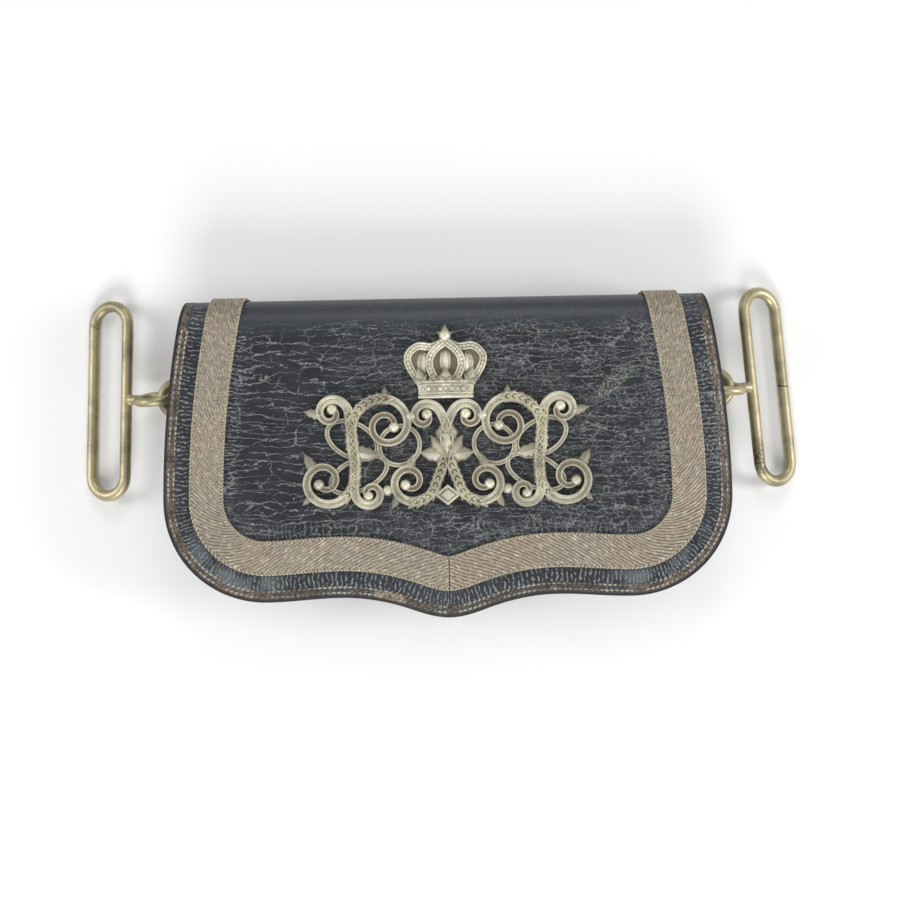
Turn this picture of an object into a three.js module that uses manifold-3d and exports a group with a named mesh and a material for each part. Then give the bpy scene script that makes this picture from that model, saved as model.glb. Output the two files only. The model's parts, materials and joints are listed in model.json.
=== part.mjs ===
// An officer's cross belt pouch, lying on its back with the flap up.
// Millimetres. +X is the wearer's width of the pouch, +Y runs up to the fold, +Z comes out of the flap.
// The origin is the middle of the flat back, which rests on the surface at z = 0.
import * as THREE from "three";
import { mergeVertices } from "three/addons/utils/BufferGeometryUtils.js";
import Module from "manifold-3d";

const wasm = await Module();
wasm.setup();

// Leather case
const CLEARANCE = 0.3; // between pieces that touch on the real pouch
const LEATHER = 3; // flap and back
const POUCH_DEPTH = 34; // back face to flap face
const BACK_FLAT = 70; // height of the flat back
const BACK_WIDTH = 168; // at its lower edge
const BACK_CORNER = 12; // radius of the back's lower corners
const BACK_FOLD_RADIUS = 6;
const FRONT_FOLD_RADIUS = 10;

// Flap outline, seen from the front
const FLAP_WIDTH = 190; // at the widest place
const FLAP_LENGTH = 102.2; // top of the fold to the lowest place of the two lobes
const SIDE_TAPER = 5.3; // how much narrower each side is where the fold begins
const LOBE_RADIUS = 34.2;
const TROUGH_PLACE = 36; // distance of each hollow from the middle
const TROUGH_RISE = 1.1; // hollow above the lobes
const POINT_DROP = 6.1; // middle point below the lobes
const POINT_SHOULDER = 12; // where the rounding of the point begins
const SHOULDER_DROP = 0.56; // of the point's drop
const SHOULDER_SLOPE = 0.24; // of the point's drop, over a third of the shoulder's distance
const LOBE_EASE = 0.4; // how long the lobe and the hollow stay level, of the way between them
const POINT_DROOP = 4; // sag of the point, past the box
const SIDE_DROOP = 1.8; // sag of the side edges, past the box
const DROOP_FADE = 25; // height over which the side sag ends below the fold

// Box under the flap
const BOX_WIDTH = 164;
const BOX_WALL = 2.5;
const BOX_CORNER = 9;
const BOX_EDGE = 1.6; // rounding of the long edges
const MOUTH_DROP = 1; // mouth below the place where the front begins to fold

// Lace
const LACE_WIDTH = 12.5;
const LACE_MARGIN = 7.9; // flap edge to lace
const LACE_THICKNESS = 1.2;
const LACE_TURN = 24; // length of lace that goes over the fold

// Badge
const CROWN_DROP = 10.4; // top of the fold to the top of the crown
const CROWN_WIDTH = 27;
const CROWN_HEIGHT = 25;
const CROWN_RELIEF = 4;
const SCROLL_WIDTH = 105;
const SCROLL_HEIGHT = 43;
const SCROLL_RELIEF = 2.6;
const SCROLL_OVERLAP = 0.11; // of its height, past the foot of the crown
const RIBBON = 2.5; // width of a scroll's ribbon

// Belt loops and their staples
const LOOP_LENGTH = 70.6;
const LOOP_WIDTH = 17.8;
const LOOP_WIRE = 4;
const EYE_HOLE = 8.8;
const EYE_WIRE = 3.2;
const EYE_NECK = 2.4; // eye to the nearer bar
const EYE_LEAN = 17; // degrees, lower side of the eye towards the fold
const LEFT_YAW = 1.35; // degrees, lower end of the loop outwards
const RIGHT_YAW = 4.1;
const STAPLE_DROP = 31.5; // below the top of the fold
const STAPLE_HEIGHT = 13.5; // above the back
const STAPLE_REACH = 17.8; // box side to the outside of the bow
const STAPLE_WIRE = 3.2;
const STAPLE_BOW = 11.6; // between the middles of the two legs
const PLATE_LENGTH = 22;
const PLATE_WIDTH = 12;
const PLATE_THICKNESS = 1.4;

// Closing tab between the flap and the bottom of the box
const TAB_WIDTH = 18;
const TAB_THICKNESS = 2;
const TAB_SEAT = 14; // length under the flap
const TAB_HANG = 16; // length down the bottom of the box
const TAB_BEND = 3; // inner radius
const STUD_RADIUS = 5;
const STUD_HEIGHT = 2.4;

// Fineness of the facets
const HALF_COLUMNS = 14;
const FRONT_ROWS = 13;
const FOLD_STEPS = 6;
const CORNER_STEPS = 4;

// Places that follow from the sizes
const topY = BACK_FLAT / 2 + BACK_FOLD_RADIUS;
const lowY = -BACK_FLAT / 2;
const frontTopY = topY - FRONT_FOLD_RADIUS;
const lobeY = topY - FLAP_LENGTH;
const widestY = lobeY + LOBE_RADIUS;
const pointY = lobeY - POINT_DROP;
const halfFlap = FLAP_WIDTH / 2;
const halfBox = BOX_WIDTH / 2;
const quarter = Math.PI / 2;
const wallHeight = POUCH_DEPTH - FRONT_FOLD_RADIUS - BACK_FOLD_RADIUS;
const foldEnds = [
  FRONT_FOLD_RADIUS * quarter,
  FRONT_FOLD_RADIUS * quarter + wallHeight,
  FRONT_FOLD_RADIUS * quarter + wallHeight + BACK_FOLD_RADIUS * quarter,
];

const part = new THREE.Group();

const leather = new THREE.MeshStandardMaterial({ color: 0x20242a, roughness: 0.45, metalness: 0 });
const caseLeather = new THREE.MeshStandardMaterial({ color: 0x191a1c, roughness: 0.6, metalness: 0 });
const lace = new THREE.MeshStandardMaterial({ color: 0x8f8470, roughness: 0.55, metalness: 0.5 });
const silver = new THREE.MeshStandardMaterial({ color: 0xb4ab93, roughness: 0.35, metalness: 0.9 });
const nickel = new THREE.MeshStandardMaterial({ color: 0xb9b08c, roughness: 0.3, metalness: 0.9 });

function radians(degrees) {
  return (degrees * Math.PI) / 180;
}

function lerp(a, b, share) {
  return a + (b - a) * share;
}

function addPiece(name, geometry, material, parent = part) {
  const mesh = new THREE.Mesh(geometry, material);
  mesh.name = name;
  parent.add(mesh);
  return mesh;
}

// Solids: closed geometry to manifold and back
function solidOf(geometry) {
  const bare = new THREE.BufferGeometry();
  const flat = geometry.index ? geometry.toNonIndexed() : geometry;
  bare.setAttribute("position", flat.getAttribute("position"));
  const merged = mergeVertices(bare, 1e-4);
  return new wasm.Manifold(
    new wasm.Mesh({
      numProp: 3,
      vertProperties: merged.attributes.position.array,
      triVerts: new Uint32Array(merged.index.array),
    }),
  );
}

function geometryOf(solid) {
  const mesh = solid.getMesh();
  const geometry = new THREE.BufferGeometry();
  geometry.setAttribute("position", new THREE.BufferAttribute(mesh.vertProperties, 3));
  geometry.setIndex(new THREE.BufferAttribute(mesh.triVerts, 1));
  geometry.computeVertexNormals();
  return geometry;
}

function joined(geometries) {
  let whole = solidOf(geometries[0]);
  for (const geometry of geometries.slice(1)) {
    whole = whole.add(solidOf(geometry));
  }
  return whole;
}

// A closed skin over two layers of a grid: the outer layer, the inner one and the rim between them.
function sheetGeometry(rows, columns, outer, inner) {
  const positions = [];
  const index = [];
  const width = columns + 1;
  const layer = (rows + 1) * width;
  for (const place of [outer, inner]) {
    for (let i = 0; i <= rows; i++) {
      for (let j = 0; j <= columns; j++) {
        positions.push(...place(i, j).toArray());
      }
    }
  }
  const quad = (a, b, c, d) => index.push(a, b, c, a, c, d);
  for (let i = 0; i < rows; i++) {
    for (let j = 0; j < columns; j++) {
      const a = i * width + j;
      quad(a, a + 1, a + 1 + width, a + width);
      quad(a + layer, a + layer + width, a + layer + width + 1, a + layer + 1);
    }
  }
  const rim = [];
  for (let j = 0; j < columns; j++) rim.push(j);
  for (let i = 0; i < rows; i++) rim.push(i * width + columns);
  for (let j = columns; j > 0; j--) rim.push(rows * width + j);
  for (let i = rows; i > 0; i--) rim.push(i * width);
  rim.forEach((a, k) => {
    const b = rim[(k + 1) % rim.length];
    quad(a, a + layer, b + layer, b);
  });
  const geometry = new THREE.BufferGeometry();
  geometry.setAttribute("position", new THREE.Float32BufferAttribute(positions, 3));
  geometry.setIndex(index);
  geometry.computeVertexNormals();
  return geometry;
}

// A round wire along points that lie in one plane, closed on itself or with flat ends.
function wireGeometry(points, planeNormal, wire, sides, closed) {
  const positions = [];
  const index = [];
  const count = points.length;
  points.forEach((point, i) => {
    const before = points[closed ? (i + count - 1) % count : Math.max(i - 1, 0)];
    const after = points[closed ? (i + 1) % count : Math.min(i + 1, count - 1)];
    const along = after.clone().sub(before).normalize();
    const across = new THREE.Vector3().crossVectors(along, planeNormal).normalize();
    const bend = after.clone().sub(point).normalize().dot(point.clone().sub(before).normalize());
    const inside = closed || (i > 0 && i < count - 1);
    const stretch = inside ? 1 / Math.sqrt((1 + bend) / 2) : 1;
    for (let k = 0; k < sides; k++) {
      const angle = (2 * Math.PI * (k + 0.5)) / sides;
      const corner = point.clone();
      corner.addScaledVector(across, (wire / 2) * Math.cos(angle) * stretch);
      corner.addScaledVector(planeNormal, (wire / 2) * Math.sin(angle));
      positions.push(...corner.toArray());
    }
  });
  const spans = closed ? count : count - 1;
  for (let i = 0; i < spans; i++) {
    for (let k = 0; k < sides; k++) {
      const a = i * sides + k;
      const b = i * sides + ((k + 1) % sides);
      const c = ((i + 1) % count) * sides + k;
      const d = ((i + 1) % count) * sides + ((k + 1) % sides);
      index.push(a, d, b, a, c, d);
    }
  }
  if (!closed) {
    const last = (count - 1) * sides;
    for (let k = 1; k < sides - 1; k++) {
      index.push(0, k, k + 1, last, last + k + 1, last + k);
    }
  }
  const geometry = new THREE.BufferGeometry();
  geometry.setAttribute("position", new THREE.Float32BufferAttribute(positions, 3));
  geometry.setIndex(index);
  return geometry;
}

// Flap surface. v is y on the front, and goes on past the fold as length along the leather.
// The front sags only past the edges of the box.
function sag(x, y) {
  const below = Math.max(0, (lowY - y) / (lowY - pointY));
  const beside = Math.max(0, (Math.abs(x) - halfBox) / (halfFlap - halfBox));
  const fade = THREE.MathUtils.smoothstep(frontTopY - y, 0, DROOP_FADE);
  return POINT_DROOP * below * below + SIDE_DROOP * beside * beside * fade;
}

function flapPoint(x, v, height) {
  if (v <= frontTopY) {
    const step = 0.01;
    const slopeX = (sag(x + step, v) - sag(x - step, v)) / (2 * step);
    const slopeY = (sag(x, v + step) - sag(x, v - step)) / (2 * step);
    const normal = new THREE.Vector3(slopeX, slopeY, 1).normalize();
    return new THREE.Vector3(x, v, POUCH_DEPTH - sag(x, v)).addScaledVector(normal, height);
  }
  const run = v - frontTopY;
  if (run < foldEnds[0]) {
    const angle = run / FRONT_FOLD_RADIUS;
    const radius = FRONT_FOLD_RADIUS + height;
    const centreZ = POUCH_DEPTH - FRONT_FOLD_RADIUS;
    return new THREE.Vector3(x, frontTopY + radius * Math.sin(angle), centreZ + radius * Math.cos(angle));
  }
  if (run < foldEnds[1]) {
    return new THREE.Vector3(x, topY + height, POUCH_DEPTH - FRONT_FOLD_RADIUS - (run - foldEnds[0]));
  }
  if (run < foldEnds[2]) {
    const angle = (run - foldEnds[1]) / BACK_FOLD_RADIUS;
    const radius = BACK_FOLD_RADIUS + height;
    const y = topY - BACK_FOLD_RADIUS + radius * Math.cos(angle);
    return new THREE.Vector3(x, y, BACK_FOLD_RADIUS - radius * Math.sin(angle));
  }
  return new THREE.Vector3(x, topY - BACK_FOLD_RADIUS - (run - foldEnds[2]), -height);
}

// Half outline of the front, as curves from the fold down the side, and from the lobe to the point.
const sideTop = new THREE.Vector2(halfFlap - SIDE_TAPER, frontTopY);
const lobeCentre = new THREE.Vector2(halfFlap - LOBE_RADIUS, widestY);

function arcPath(from, to) {
  return new THREE.EllipseCurve(
    lobeCentre.x, lobeCentre.y, LOBE_RADIUS, LOBE_RADIUS, -radians(from), -radians(to), true,
  );
}

function sideCurve() {
  const path = new THREE.CurvePath();
  const bow = new THREE.Vector2(halfFlap, (frontTopY + widestY) / 2);
  path.add(new THREE.QuadraticBezierCurve(sideTop, bow, new THREE.Vector2(halfFlap, widestY)));
  path.add(arcPath(0, 45));
  return path;
}

function lowerCurve() {
  const lobe = new THREE.Vector2(lobeCentre.x, lobeY);
  const trough = new THREE.Vector2(TROUGH_PLACE, lobeY + TROUGH_RISE);
  const shoulder = new THREE.Vector2(POINT_SHOULDER, lobeY - POINT_DROP * SHOULDER_DROP);
  const point = new THREE.Vector2(0, pointY);
  const rise = new THREE.Vector2(POINT_SHOULDER / 3, POINT_DROP * SHOULDER_SLOPE);
  const ease = (a, b, share) => new THREE.Vector2(lerp(a.x, b.x, share), a.y);
  const path = new THREE.CurvePath();
  path.add(arcPath(45, 90));
  path.add(new THREE.CubicBezierCurve(
    lobe, ease(lobe, trough, LOBE_EASE), ease(trough, lobe, LOBE_EASE), trough,
  ));
  const before = shoulder.clone().addScaledVector(rise, 2);
  path.add(new THREE.CubicBezierCurve(trough, ease(trough, shoulder, 1 / 3), before, shoulder));
  const after = shoulder.clone().sub(rise);
  path.add(new THREE.CubicBezierCurve(shoulder, after, ease(point, shoulder, 1 / 3), point));
  return path;
}

// Half width past the fold, by length along the leather: the side's slope dies out at the back.
function halfWidthPast(run) {
  const slope = (2 * SIDE_TAPER) / (frontTopY - widestY);
  const end = foldEnds[2];
  const used = Math.min(run, end);
  const atEnd = sideTop.x - (slope * end) / 2;
  if (run <= end) return sideTop.x - slope * (used - (used * used) / (2 * end));
  const left = BACK_FLAT - (run - end);
  const width = lerp(atEnd, BACK_WIDTH / 2, (run - end) / BACK_FLAT);
  if (left >= BACK_CORNER) return width;
  return width - BACK_CORNER + Math.sqrt(BACK_CORNER ** 2 - (BACK_CORNER - left) ** 2);
}

function flapGeometry() {
  const side = sideCurve();
  const lower = lowerCurve();
  const front = (share, t) => {
    const u = Math.abs(share);
    const s = side.getPoint(t);
    const b = lower.getPoint(1 - u);
    const corner = side.getPoint(1);
    const x = (1 - t) * u * sideTop.x + t * b.x + u * s.x - u * ((1 - t) * sideTop.x + t * corner.x);
    const middle = lerp(frontTopY, pointY, t);
    const level = (1 - u) * ((1 - t) * frontTopY + t * pointY) + u * ((1 - t) * frontTopY + t * corner.y);
    const y = (1 - t) * frontTopY + t * b.y + (1 - u) * middle + u * s.y - level;
    return [Math.sign(share) * x, y];
  };
  const past = [];
  for (let k = 1; k <= FOLD_STEPS; k++) past.push((foldEnds[0] * k) / FOLD_STEPS);
  past.push(foldEnds[1]);
  for (let k = 1; k <= FOLD_STEPS - 2; k++) {
    past.push(lerp(foldEnds[1], foldEnds[2], k / (FOLD_STEPS - 2)));
  }
  past.push(foldEnds[2] + (BACK_FLAT - BACK_CORNER) / 2);
  for (let k = 0; k <= CORNER_STEPS; k++) {
    past.push(foldEnds[2] + BACK_FLAT - BACK_CORNER * (1 - Math.sin((quarter * k) / CORNER_STEPS)));
  }
  const rows = FRONT_ROWS + past.length;
  const columns = 2 * HALF_COLUMNS;
  const place = (height) => (i, j) => {
    const share = j / HALF_COLUMNS - 1;
    if (i <= FRONT_ROWS) return flapPoint(...front(share, 1 - i / FRONT_ROWS), height);
    const run = past[i - FRONT_ROWS - 1];
    return flapPoint(share * halfWidthPast(run), frontTopY + run, height);
  };
  return sheetGeometry(rows, columns, place(0), place(-LEATHER));
}

// Box: rounded lower corners, open at the mouth.
function boxShape(inset, top) {
  const half = halfBox - inset;
  const low = lowY + inset;
  const round = Math.max(BOX_CORNER - inset, 1);
  const shape = new THREE.Shape();
  shape.moveTo(-half, top);
  shape.lineTo(-half, low + round);
  shape.absarc(-half + round, low + round, round, Math.PI, 1.5 * Math.PI);
  shape.lineTo(half - round, low);
  shape.absarc(half - round, low + round, round, -quarter, 0);
  shape.lineTo(half, top);
  return shape;
}

function slabOf(shape, fromZ, toZ, edge) {
  const geometry = new THREE.ExtrudeGeometry(shape, {
    depth: toZ - fromZ - 2 * edge,
    curveSegments: 5,
    bevelEnabled: edge > 0,
    bevelThickness: edge,
    bevelSize: edge,
    bevelOffset: -edge,
    bevelSegments: 2,
  });
  return geometry.translate(0, 0, fromZ + edge);
}

const boxBackZ = LEATHER + CLEARANCE;
const boxFrontZ = POUCH_DEPTH - LEATHER - CLEARANCE;
const mouthY = frontTopY - MOUTH_DROP;

function boxGeometry() {
  const spare = 10;
  const outer = solidOf(slabOf(boxShape(0, mouthY + spare), boxBackZ, boxFrontZ, BOX_EDGE));
  const hollow = solidOf(
    slabOf(boxShape(BOX_WALL, mouthY + 2 * spare), boxBackZ + BOX_WALL, boxFrontZ - BOX_WALL, 0),
  );
  const cut = new THREE.BoxGeometry(BOX_WIDTH + spare, 2 * spare, POUCH_DEPTH * 2);
  return geometryOf(outer.subtract(hollow).subtract(solidOf(cut.translate(0, mouthY + spare, 0))));
}

// Lace: a band at a constant margin from the developed edge, mitred at the middle.
function developedEdge() {
  const points = [];
  for (let k = FOLD_STEPS + 2; k > 0; k--) {
    const run = (LACE_TURN * k) / (FOLD_STEPS + 2);
    points.push(new THREE.Vector2(halfWidthPast(run), frontTopY + run));
  }
  const side = sideCurve();
  const sideCount = 18;
  for (let k = 0; k <= sideCount; k++) points.push(side.getPoint(k / sideCount));
  const corner = arcPath(45, 90);
  const cornerCount = 4;
  for (let k = 1; k <= cornerCount; k++) points.push(corner.getPoint(k / cornerCount));
  return points;
}

function insetPoints(points, inset) {
  return points.map((point, i) => {
    const before = points[Math.max(i - 1, 0)];
    const after = points[Math.min(i + 1, points.length - 1)];
    const along = after.clone().sub(before).normalize();
    return new THREE.Vector2(point.x + along.y * inset, point.y - along.x * inset);
  });
}

function lowerRun(inset, mitre, steps) {
  const lower = lowerCurve();
  const cornerShare = lower.getCurveLengths()[0] / lower.getLength();
  const fine = 80;
  const edge = [];
  for (let k = 0; k <= fine; k++) edge.push(lower.getPoint(lerp(cornerShare, 1, k / fine)));
  const kept = insetPoints(edge, inset).filter((point) => point.x > mitre);
  const [before, last] = kept.slice(-2);
  const reach = (last.x - mitre) / (before.x - last.x);
  kept.push(new THREE.Vector2(mitre, last.y - (before.y - last.y) * reach));
  const path = new THREE.CurvePath();
  for (let k = 1; k < kept.length; k++) path.add(new THREE.LineCurve(kept[k - 1], kept[k]));
  const run = [];
  for (let k = 1; k <= steps; k++) run.push(path.getPoint(k / steps));
  return run;
}

function laceGeometry(sign) {
  const lowerSteps = 22;
  const across = 2;
  const lines = [];
  const edge = developedEdge();
  for (let j = 0; j <= across; j++) {
    const inset = LACE_MARGIN + (LACE_WIDTH * j) / across;
    lines.push([...insetPoints(edge, inset), ...lowerRun(inset, CLEARANCE / 2, lowerSteps)]);
  }
  const place = (height) => (i, j) => {
    const { x, y } = lines[sign < 0 ? across - j : j][i];
    return flapPoint(sign * x, y, height);
  };
  const stations = lines[0].length - 1;
  return sheetGeometry(stations, across, place(CLEARANCE + LACE_THICKNESS), place(CLEARANCE));
}

// Badge: flat ribbons on plane curves, with beads and leaves, joined to one casting.
const badgeZ = POUCH_DEPTH + CLEARANCE;
const crownTopY = topY - CROWN_DROP;
const crownLowY = crownTopY - CROWN_HEIGHT;
const scrollTopY = crownLowY + SCROLL_HEIGHT * SCROLL_OVERLAP;
const scrollMiddleY = scrollTopY - SCROLL_HEIGHT / 2;

function reliefAt(shape, relief) {
  const geometry = new THREE.ExtrudeGeometry(shape, { depth: relief, curveSegments: 5, bevelEnabled: false });
  return geometry.translate(0, 0, badgeZ);
}

function aboveSeat(solid) {
  const size = 2 * FLAP_WIDTH;
  const below = new THREE.BoxGeometry(size, size, size).translate(0, 0, badgeZ - size / 2);
  return solid.subtract(solidOf(below));
}

// A ribbon of one width along the points.
function ribbonShape(points, width) {
  const left = [];
  const right = [];
  points.forEach((point, i) => {
    const before = points[Math.max(i - 1, 0)];
    const after = points[Math.min(i + 1, points.length - 1)];
    const along = after.clone().sub(before).normalize();
    const aside = new THREE.Vector2(-along.y, along.x).multiplyScalar(width / 2);
    left.push(point.clone().add(aside));
    right.unshift(point.clone().sub(aside));
  });
  return new THREE.Shape([...left, ...right]);
}

// Right half of the scrollwork, in shares of half its width and of its height.
// Angles are in degrees, and a positive turn is anticlockwise from a volute's outside to its eye.
const VOLUTES = {
  upper: { x: 0.385, y: 0.185, radius: 0.27, start: 350, turn: 560 },
  outer: { x: 0.775, y: -0.235, radius: 0.235, start: 170, turn: 520 },
  crest: { x: 0.735, y: 0.285, radius: 0.15, start: 190, turn: -440 },
  heel: { x: 0.485, y: -0.335, radius: 0.135, start: 20, turn: -430 },
  inner: { x: 0.14, y: 0.245, radius: 0.135, start: 170, turn: -400 },
  lower: { x: 0.235, y: -0.25, radius: 0.2, start: 185, turn: 500 },
};
const SCROLLS = [
  { from: "upper", to: "outer", ease: 0.5 },
  { from: "inner", to: "lower", ease: 0.45 },
  { from: "crest", to: "heel", ease: 0.5 },
];
const LEAVES = [
  { x: 0.385, y: 0.4, angle: 90, length: 0.1 },
  { x: 0.8, y: 0.28, angle: 15, length: 0.14 },
  { x: 0.86, y: -0.14, angle: 62, length: 0.15 },
  { x: 0.87, y: -0.345, angle: -45, length: 0.1 },
  { x: 0.6, y: -0.02, angle: 188, length: 0.22 },
  { x: 0.05, y: -0.03, angle: 8, length: 0.22 },
  { x: 0.23, y: -0.14, angle: 104, length: 0.13 },
  { x: 0.32, y: -0.35, angle: -60, length: 0.12 },
];
const TIES = [["upper", "inner"], ["upper", "crest"], ["inner", "crest"]];
const HEART_PLACE = { x: 0, y: -0.07 };
const HEART = [
  { angle: 90, length: 0.34 },
  { angle: 55, length: 0.22 },
  { angle: 125, length: 0.22 },
];
const LOZENGE = { y: -0.36, halfWidth: 0.11, halfHeight: 0.085 };
const EYE_BEAD = 0.7; // radius, of the ribbon
const TIE_BEAD = 0.75;
const BEAD_LIFT = 0.55; // middle above the seat, of its radius
const LEAF_RELIEF = 0.8; // of the scrolls' relief
const HEART_RELIEF = 1.2;
const VOLUTE_EYE = 0.24; // of a volute's radius
const VOLUTE_STEPS = 12;
const BRIDGE_STEPS = 5;

function badgePlace(share, side) {
  const x = (side * share.x * SCROLL_WIDTH) / 2;
  return new THREE.Vector2(x, scrollMiddleY + share.y * SCROLL_HEIGHT);
}

function volutePoints({ x, y, radius, start, turn }) {
  const centre = badgePlace({ x, y }, 1);
  const points = [];
  for (let k = 0; k <= VOLUTE_STEPS; k++) {
    const share = k / VOLUTE_STEPS;
    const reach = radius * SCROLL_HEIGHT * VOLUTE_EYE ** share;
    const angle = radians(start + turn * share);
    points.push(new THREE.Vector2(centre.x + reach * Math.cos(angle), centre.y + reach * Math.sin(angle)));
  }
  return points;
}

// A scroll unwinds from one volute, crosses on a smooth bridge and winds into the other.
function scrollPoints({ from, to, ease }) {
  const unwinding = volutePoints(VOLUTES[from]).reverse();
  const winding = volutePoints(VOLUTES[to]);
  const [beforeLast, last] = unwinding.slice(-2);
  const [first, second] = winding;
  const handle = first.distanceTo(last) * ease;
  const leave = last.clone().sub(beforeLast).setLength(handle).add(last);
  const arrive = first.clone().sub(second).setLength(handle).add(first);
  const bridge = new THREE.CubicBezierCurve(last, leave, arrive, first);
  return [...unwinding, ...bridge.getPoints(BRIDGE_STEPS).slice(1, -1), ...winding];
}

function mirrored(points, side) {
  return points.map((point) => new THREE.Vector2(side * point.x, point.y));
}

function nearestTo(place, points) {
  return points.reduce((best, point) => (point.distanceTo(place) < best.distanceTo(place) ? point : best));
}

function nearestPair(points, others) {
  const gap = (pair) => pair[0].distanceTo(pair[1]);
  const pairs = points.map((point) => [point, nearestTo(point, others)]);
  return pairs.reduce((best, pair) => (gap(pair) < gap(best) ? pair : best));
}

const LEAF_HALF_WIDTH = 0.24; // of its length
const LEAF_SIDE = [[0.12, 0.8], [0.4, 1], [0.72, 0.6]];

function leafShape(place, angle, length) {
  const turn = radians(angle);
  const half = length * LEAF_HALF_WIDTH;
  const along = new THREE.Vector2(Math.cos(turn), Math.sin(turn));
  const aside = new THREE.Vector2(-along.y, along.x);
  const at = (a, b) => place.clone().addScaledVector(along, a * length).addScaledVector(aside, b * half);
  return new THREE.Shape([
    at(-0.15, 0),
    ...LEAF_SIDE.map(([a, b]) => at(a, -b)),
    at(1, 0),
    ...LEAF_SIDE.toReversed().map(([a, b]) => at(a, b)),
  ]);
}

function beadGeometry({ x, y }, radius) {
  return new THREE.SphereGeometry(radius, 7, 4).translate(x, y, badgeZ + radius * BEAD_LIFT);
}

// Each leaf grows from the nearest scroll, and short bars carry the lozenge and the heart.
function scrollworkGeometry() {
  const pieces = [];
  const lowRelief = SCROLL_RELIEF * LEAF_RELIEF;
  const bar = (from, to) => pieces.push(reliefAt(ribbonShape([from, to], RIBBON), lowRelief));
  const lozengePlace = badgePlace({ x: 0, y: LOZENGE.y }, 1);
  const heartPlace = badgePlace(HEART_PLACE, 1);
  for (const side of [-1, 1]) {
    const scrolls = {};
    for (const scroll of SCROLLS) {
      const points = mirrored(scrollPoints(scroll), side);
      scrolls[scroll.from] = points;
      pieces.push(reliefAt(ribbonShape(points, RIBBON), SCROLL_RELIEF));
      for (const end of [points[0], points[points.length - 1]]) {
        pieces.push(beadGeometry(end, RIBBON * EYE_BEAD));
      }
    }
    const all = Object.values(scrolls).flat();
    for (const leaf of LEAVES) {
      const angle = side > 0 ? leaf.angle : 180 - leaf.angle;
      const root = nearestTo(badgePlace(leaf, side), all);
      pieces.push(reliefAt(leafShape(root, angle, leaf.length * SCROLL_HEIGHT), lowRelief));
    }
    for (const [from, to] of TIES) {
      const [start, end] = nearestPair(scrolls[from], scrolls[to]);
      if (start.distanceTo(end) > RIBBON / 2) bar(start, end);
      pieces.push(beadGeometry(start.clone().add(end).divideScalar(2), RIBBON * TIE_BEAD));
    }
    bar(lozengePlace, nearestTo(lozengePlace, all));
    bar(heartPlace, nearestTo(heartPlace, all));
  }
  const across = new THREE.Vector2(LOZENGE.halfWidth * SCROLL_HEIGHT, 0);
  const along = new THREE.Vector2(0, LOZENGE.halfHeight * SCROLL_HEIGHT);
  const lozenge = new THREE.Shape([
    lozengePlace.clone().sub(across),
    lozengePlace.clone().sub(along),
    lozengePlace.clone().add(across),
    lozengePlace.clone().add(along),
  ]);
  pieces.push(reliefAt(lozenge, SCROLL_RELIEF));
  for (const { angle, length } of HEART) {
    pieces.push(reliefAt(leafShape(heartPlace, angle, length * SCROLL_HEIGHT), SCROLL_RELIEF * HEART_RELIEF));
  }
  return geometryOf(aboveSeat(joined(pieces)));
}

// Crown: a plain closed crown with a ball on top.
// Places are shares of its width, from the middle, and of its height, from the foot.
const CROWN_BAND = { relief: 0.8, points: [[-0.33, 0], [0.33, 0], [0.36, 0.24], [-0.36, 0.24]] };
const CROWN_CAP = {
  relief: 0.4,
  half: [[0.34, 0.2], [0.44, 0.45], [0.4, 0.62], [0.14, 0.68], [0, 0.74]],
};
const CROWN_BOWS = [
  { relief: 0.7, points: [[0.31, 0.2], [0.44, 0.42], [0.46, 0.58], [0.34, 0.7], [0.16, 0.69], [0, 0.77]] },
  { relief: 0.9, points: [[0.12, 0.22], [0.2, 0.45], [0.15, 0.62], [0, 0.76]] },
];
const CROWN_LEAVES = [
  { x: -0.29, y: 0.23, angle: 102, length: 0.26, relief: 1 },
  { x: 0, y: 0.23, angle: 90, length: 0.26, relief: 1 },
  { x: 0.29, y: 0.23, angle: 78, length: 0.26, relief: 1 },
  { x: 0, y: 0.84, angle: 90, length: 0.16, relief: 0.6 },
];
const CROWN_BEADS = [
  { x: -0.155, y: 0.34, radius: 0.05 },
  { x: 0.155, y: 0.34, radius: 0.05 },
  { x: 0, y: 0.84, radius: 0.09 },
];

function crownPlace([x, y], side = 1) {
  return new THREE.Vector2(side * x * CROWN_WIDTH, crownLowY + y * CROWN_HEIGHT);
}

function crownGeometry() {
  const pieces = [];
  const band = new THREE.Shape(CROWN_BAND.points.map((point) => crownPlace(point)));
  pieces.push(reliefAt(band, CROWN_RELIEF * CROWN_BAND.relief));
  const right = CROWN_CAP.half.map((point) => crownPlace(point));
  const left = CROWN_CAP.half.slice(0, -1).map((point) => crownPlace(point, -1));
  pieces.push(reliefAt(new THREE.Shape([...right, ...left.reverse()]), CROWN_RELIEF * CROWN_CAP.relief));
  for (const side of [-1, 1]) {
    for (const { relief, points } of CROWN_BOWS) {
      const bow = new THREE.SplineCurve(points.map((point) => crownPlace(point, side)));
      pieces.push(reliefAt(ribbonShape(bow.getPoints(12), RIBBON), CROWN_RELIEF * relief));
    }
  }
  for (const { x, y, angle, length, relief } of CROWN_LEAVES) {
    const shape = leafShape(crownPlace([x, y]), angle, CROWN_HEIGHT * length);
    pieces.push(reliefAt(shape, CROWN_RELIEF * relief));
  }
  for (const { x, y, radius } of CROWN_BEADS) {
    pieces.push(beadGeometry(crownPlace([x, y]), CROWN_HEIGHT * radius));
  }
  return geometryOf(aboveSeat(joined(pieces)));
}

// Staples: a bow of wire on a plain plate, soldered to one piece.
const stapleY = topY - STAPLE_DROP;
const hingeX = halfBox + STAPLE_REACH - STAPLE_WIRE / 2;

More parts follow.
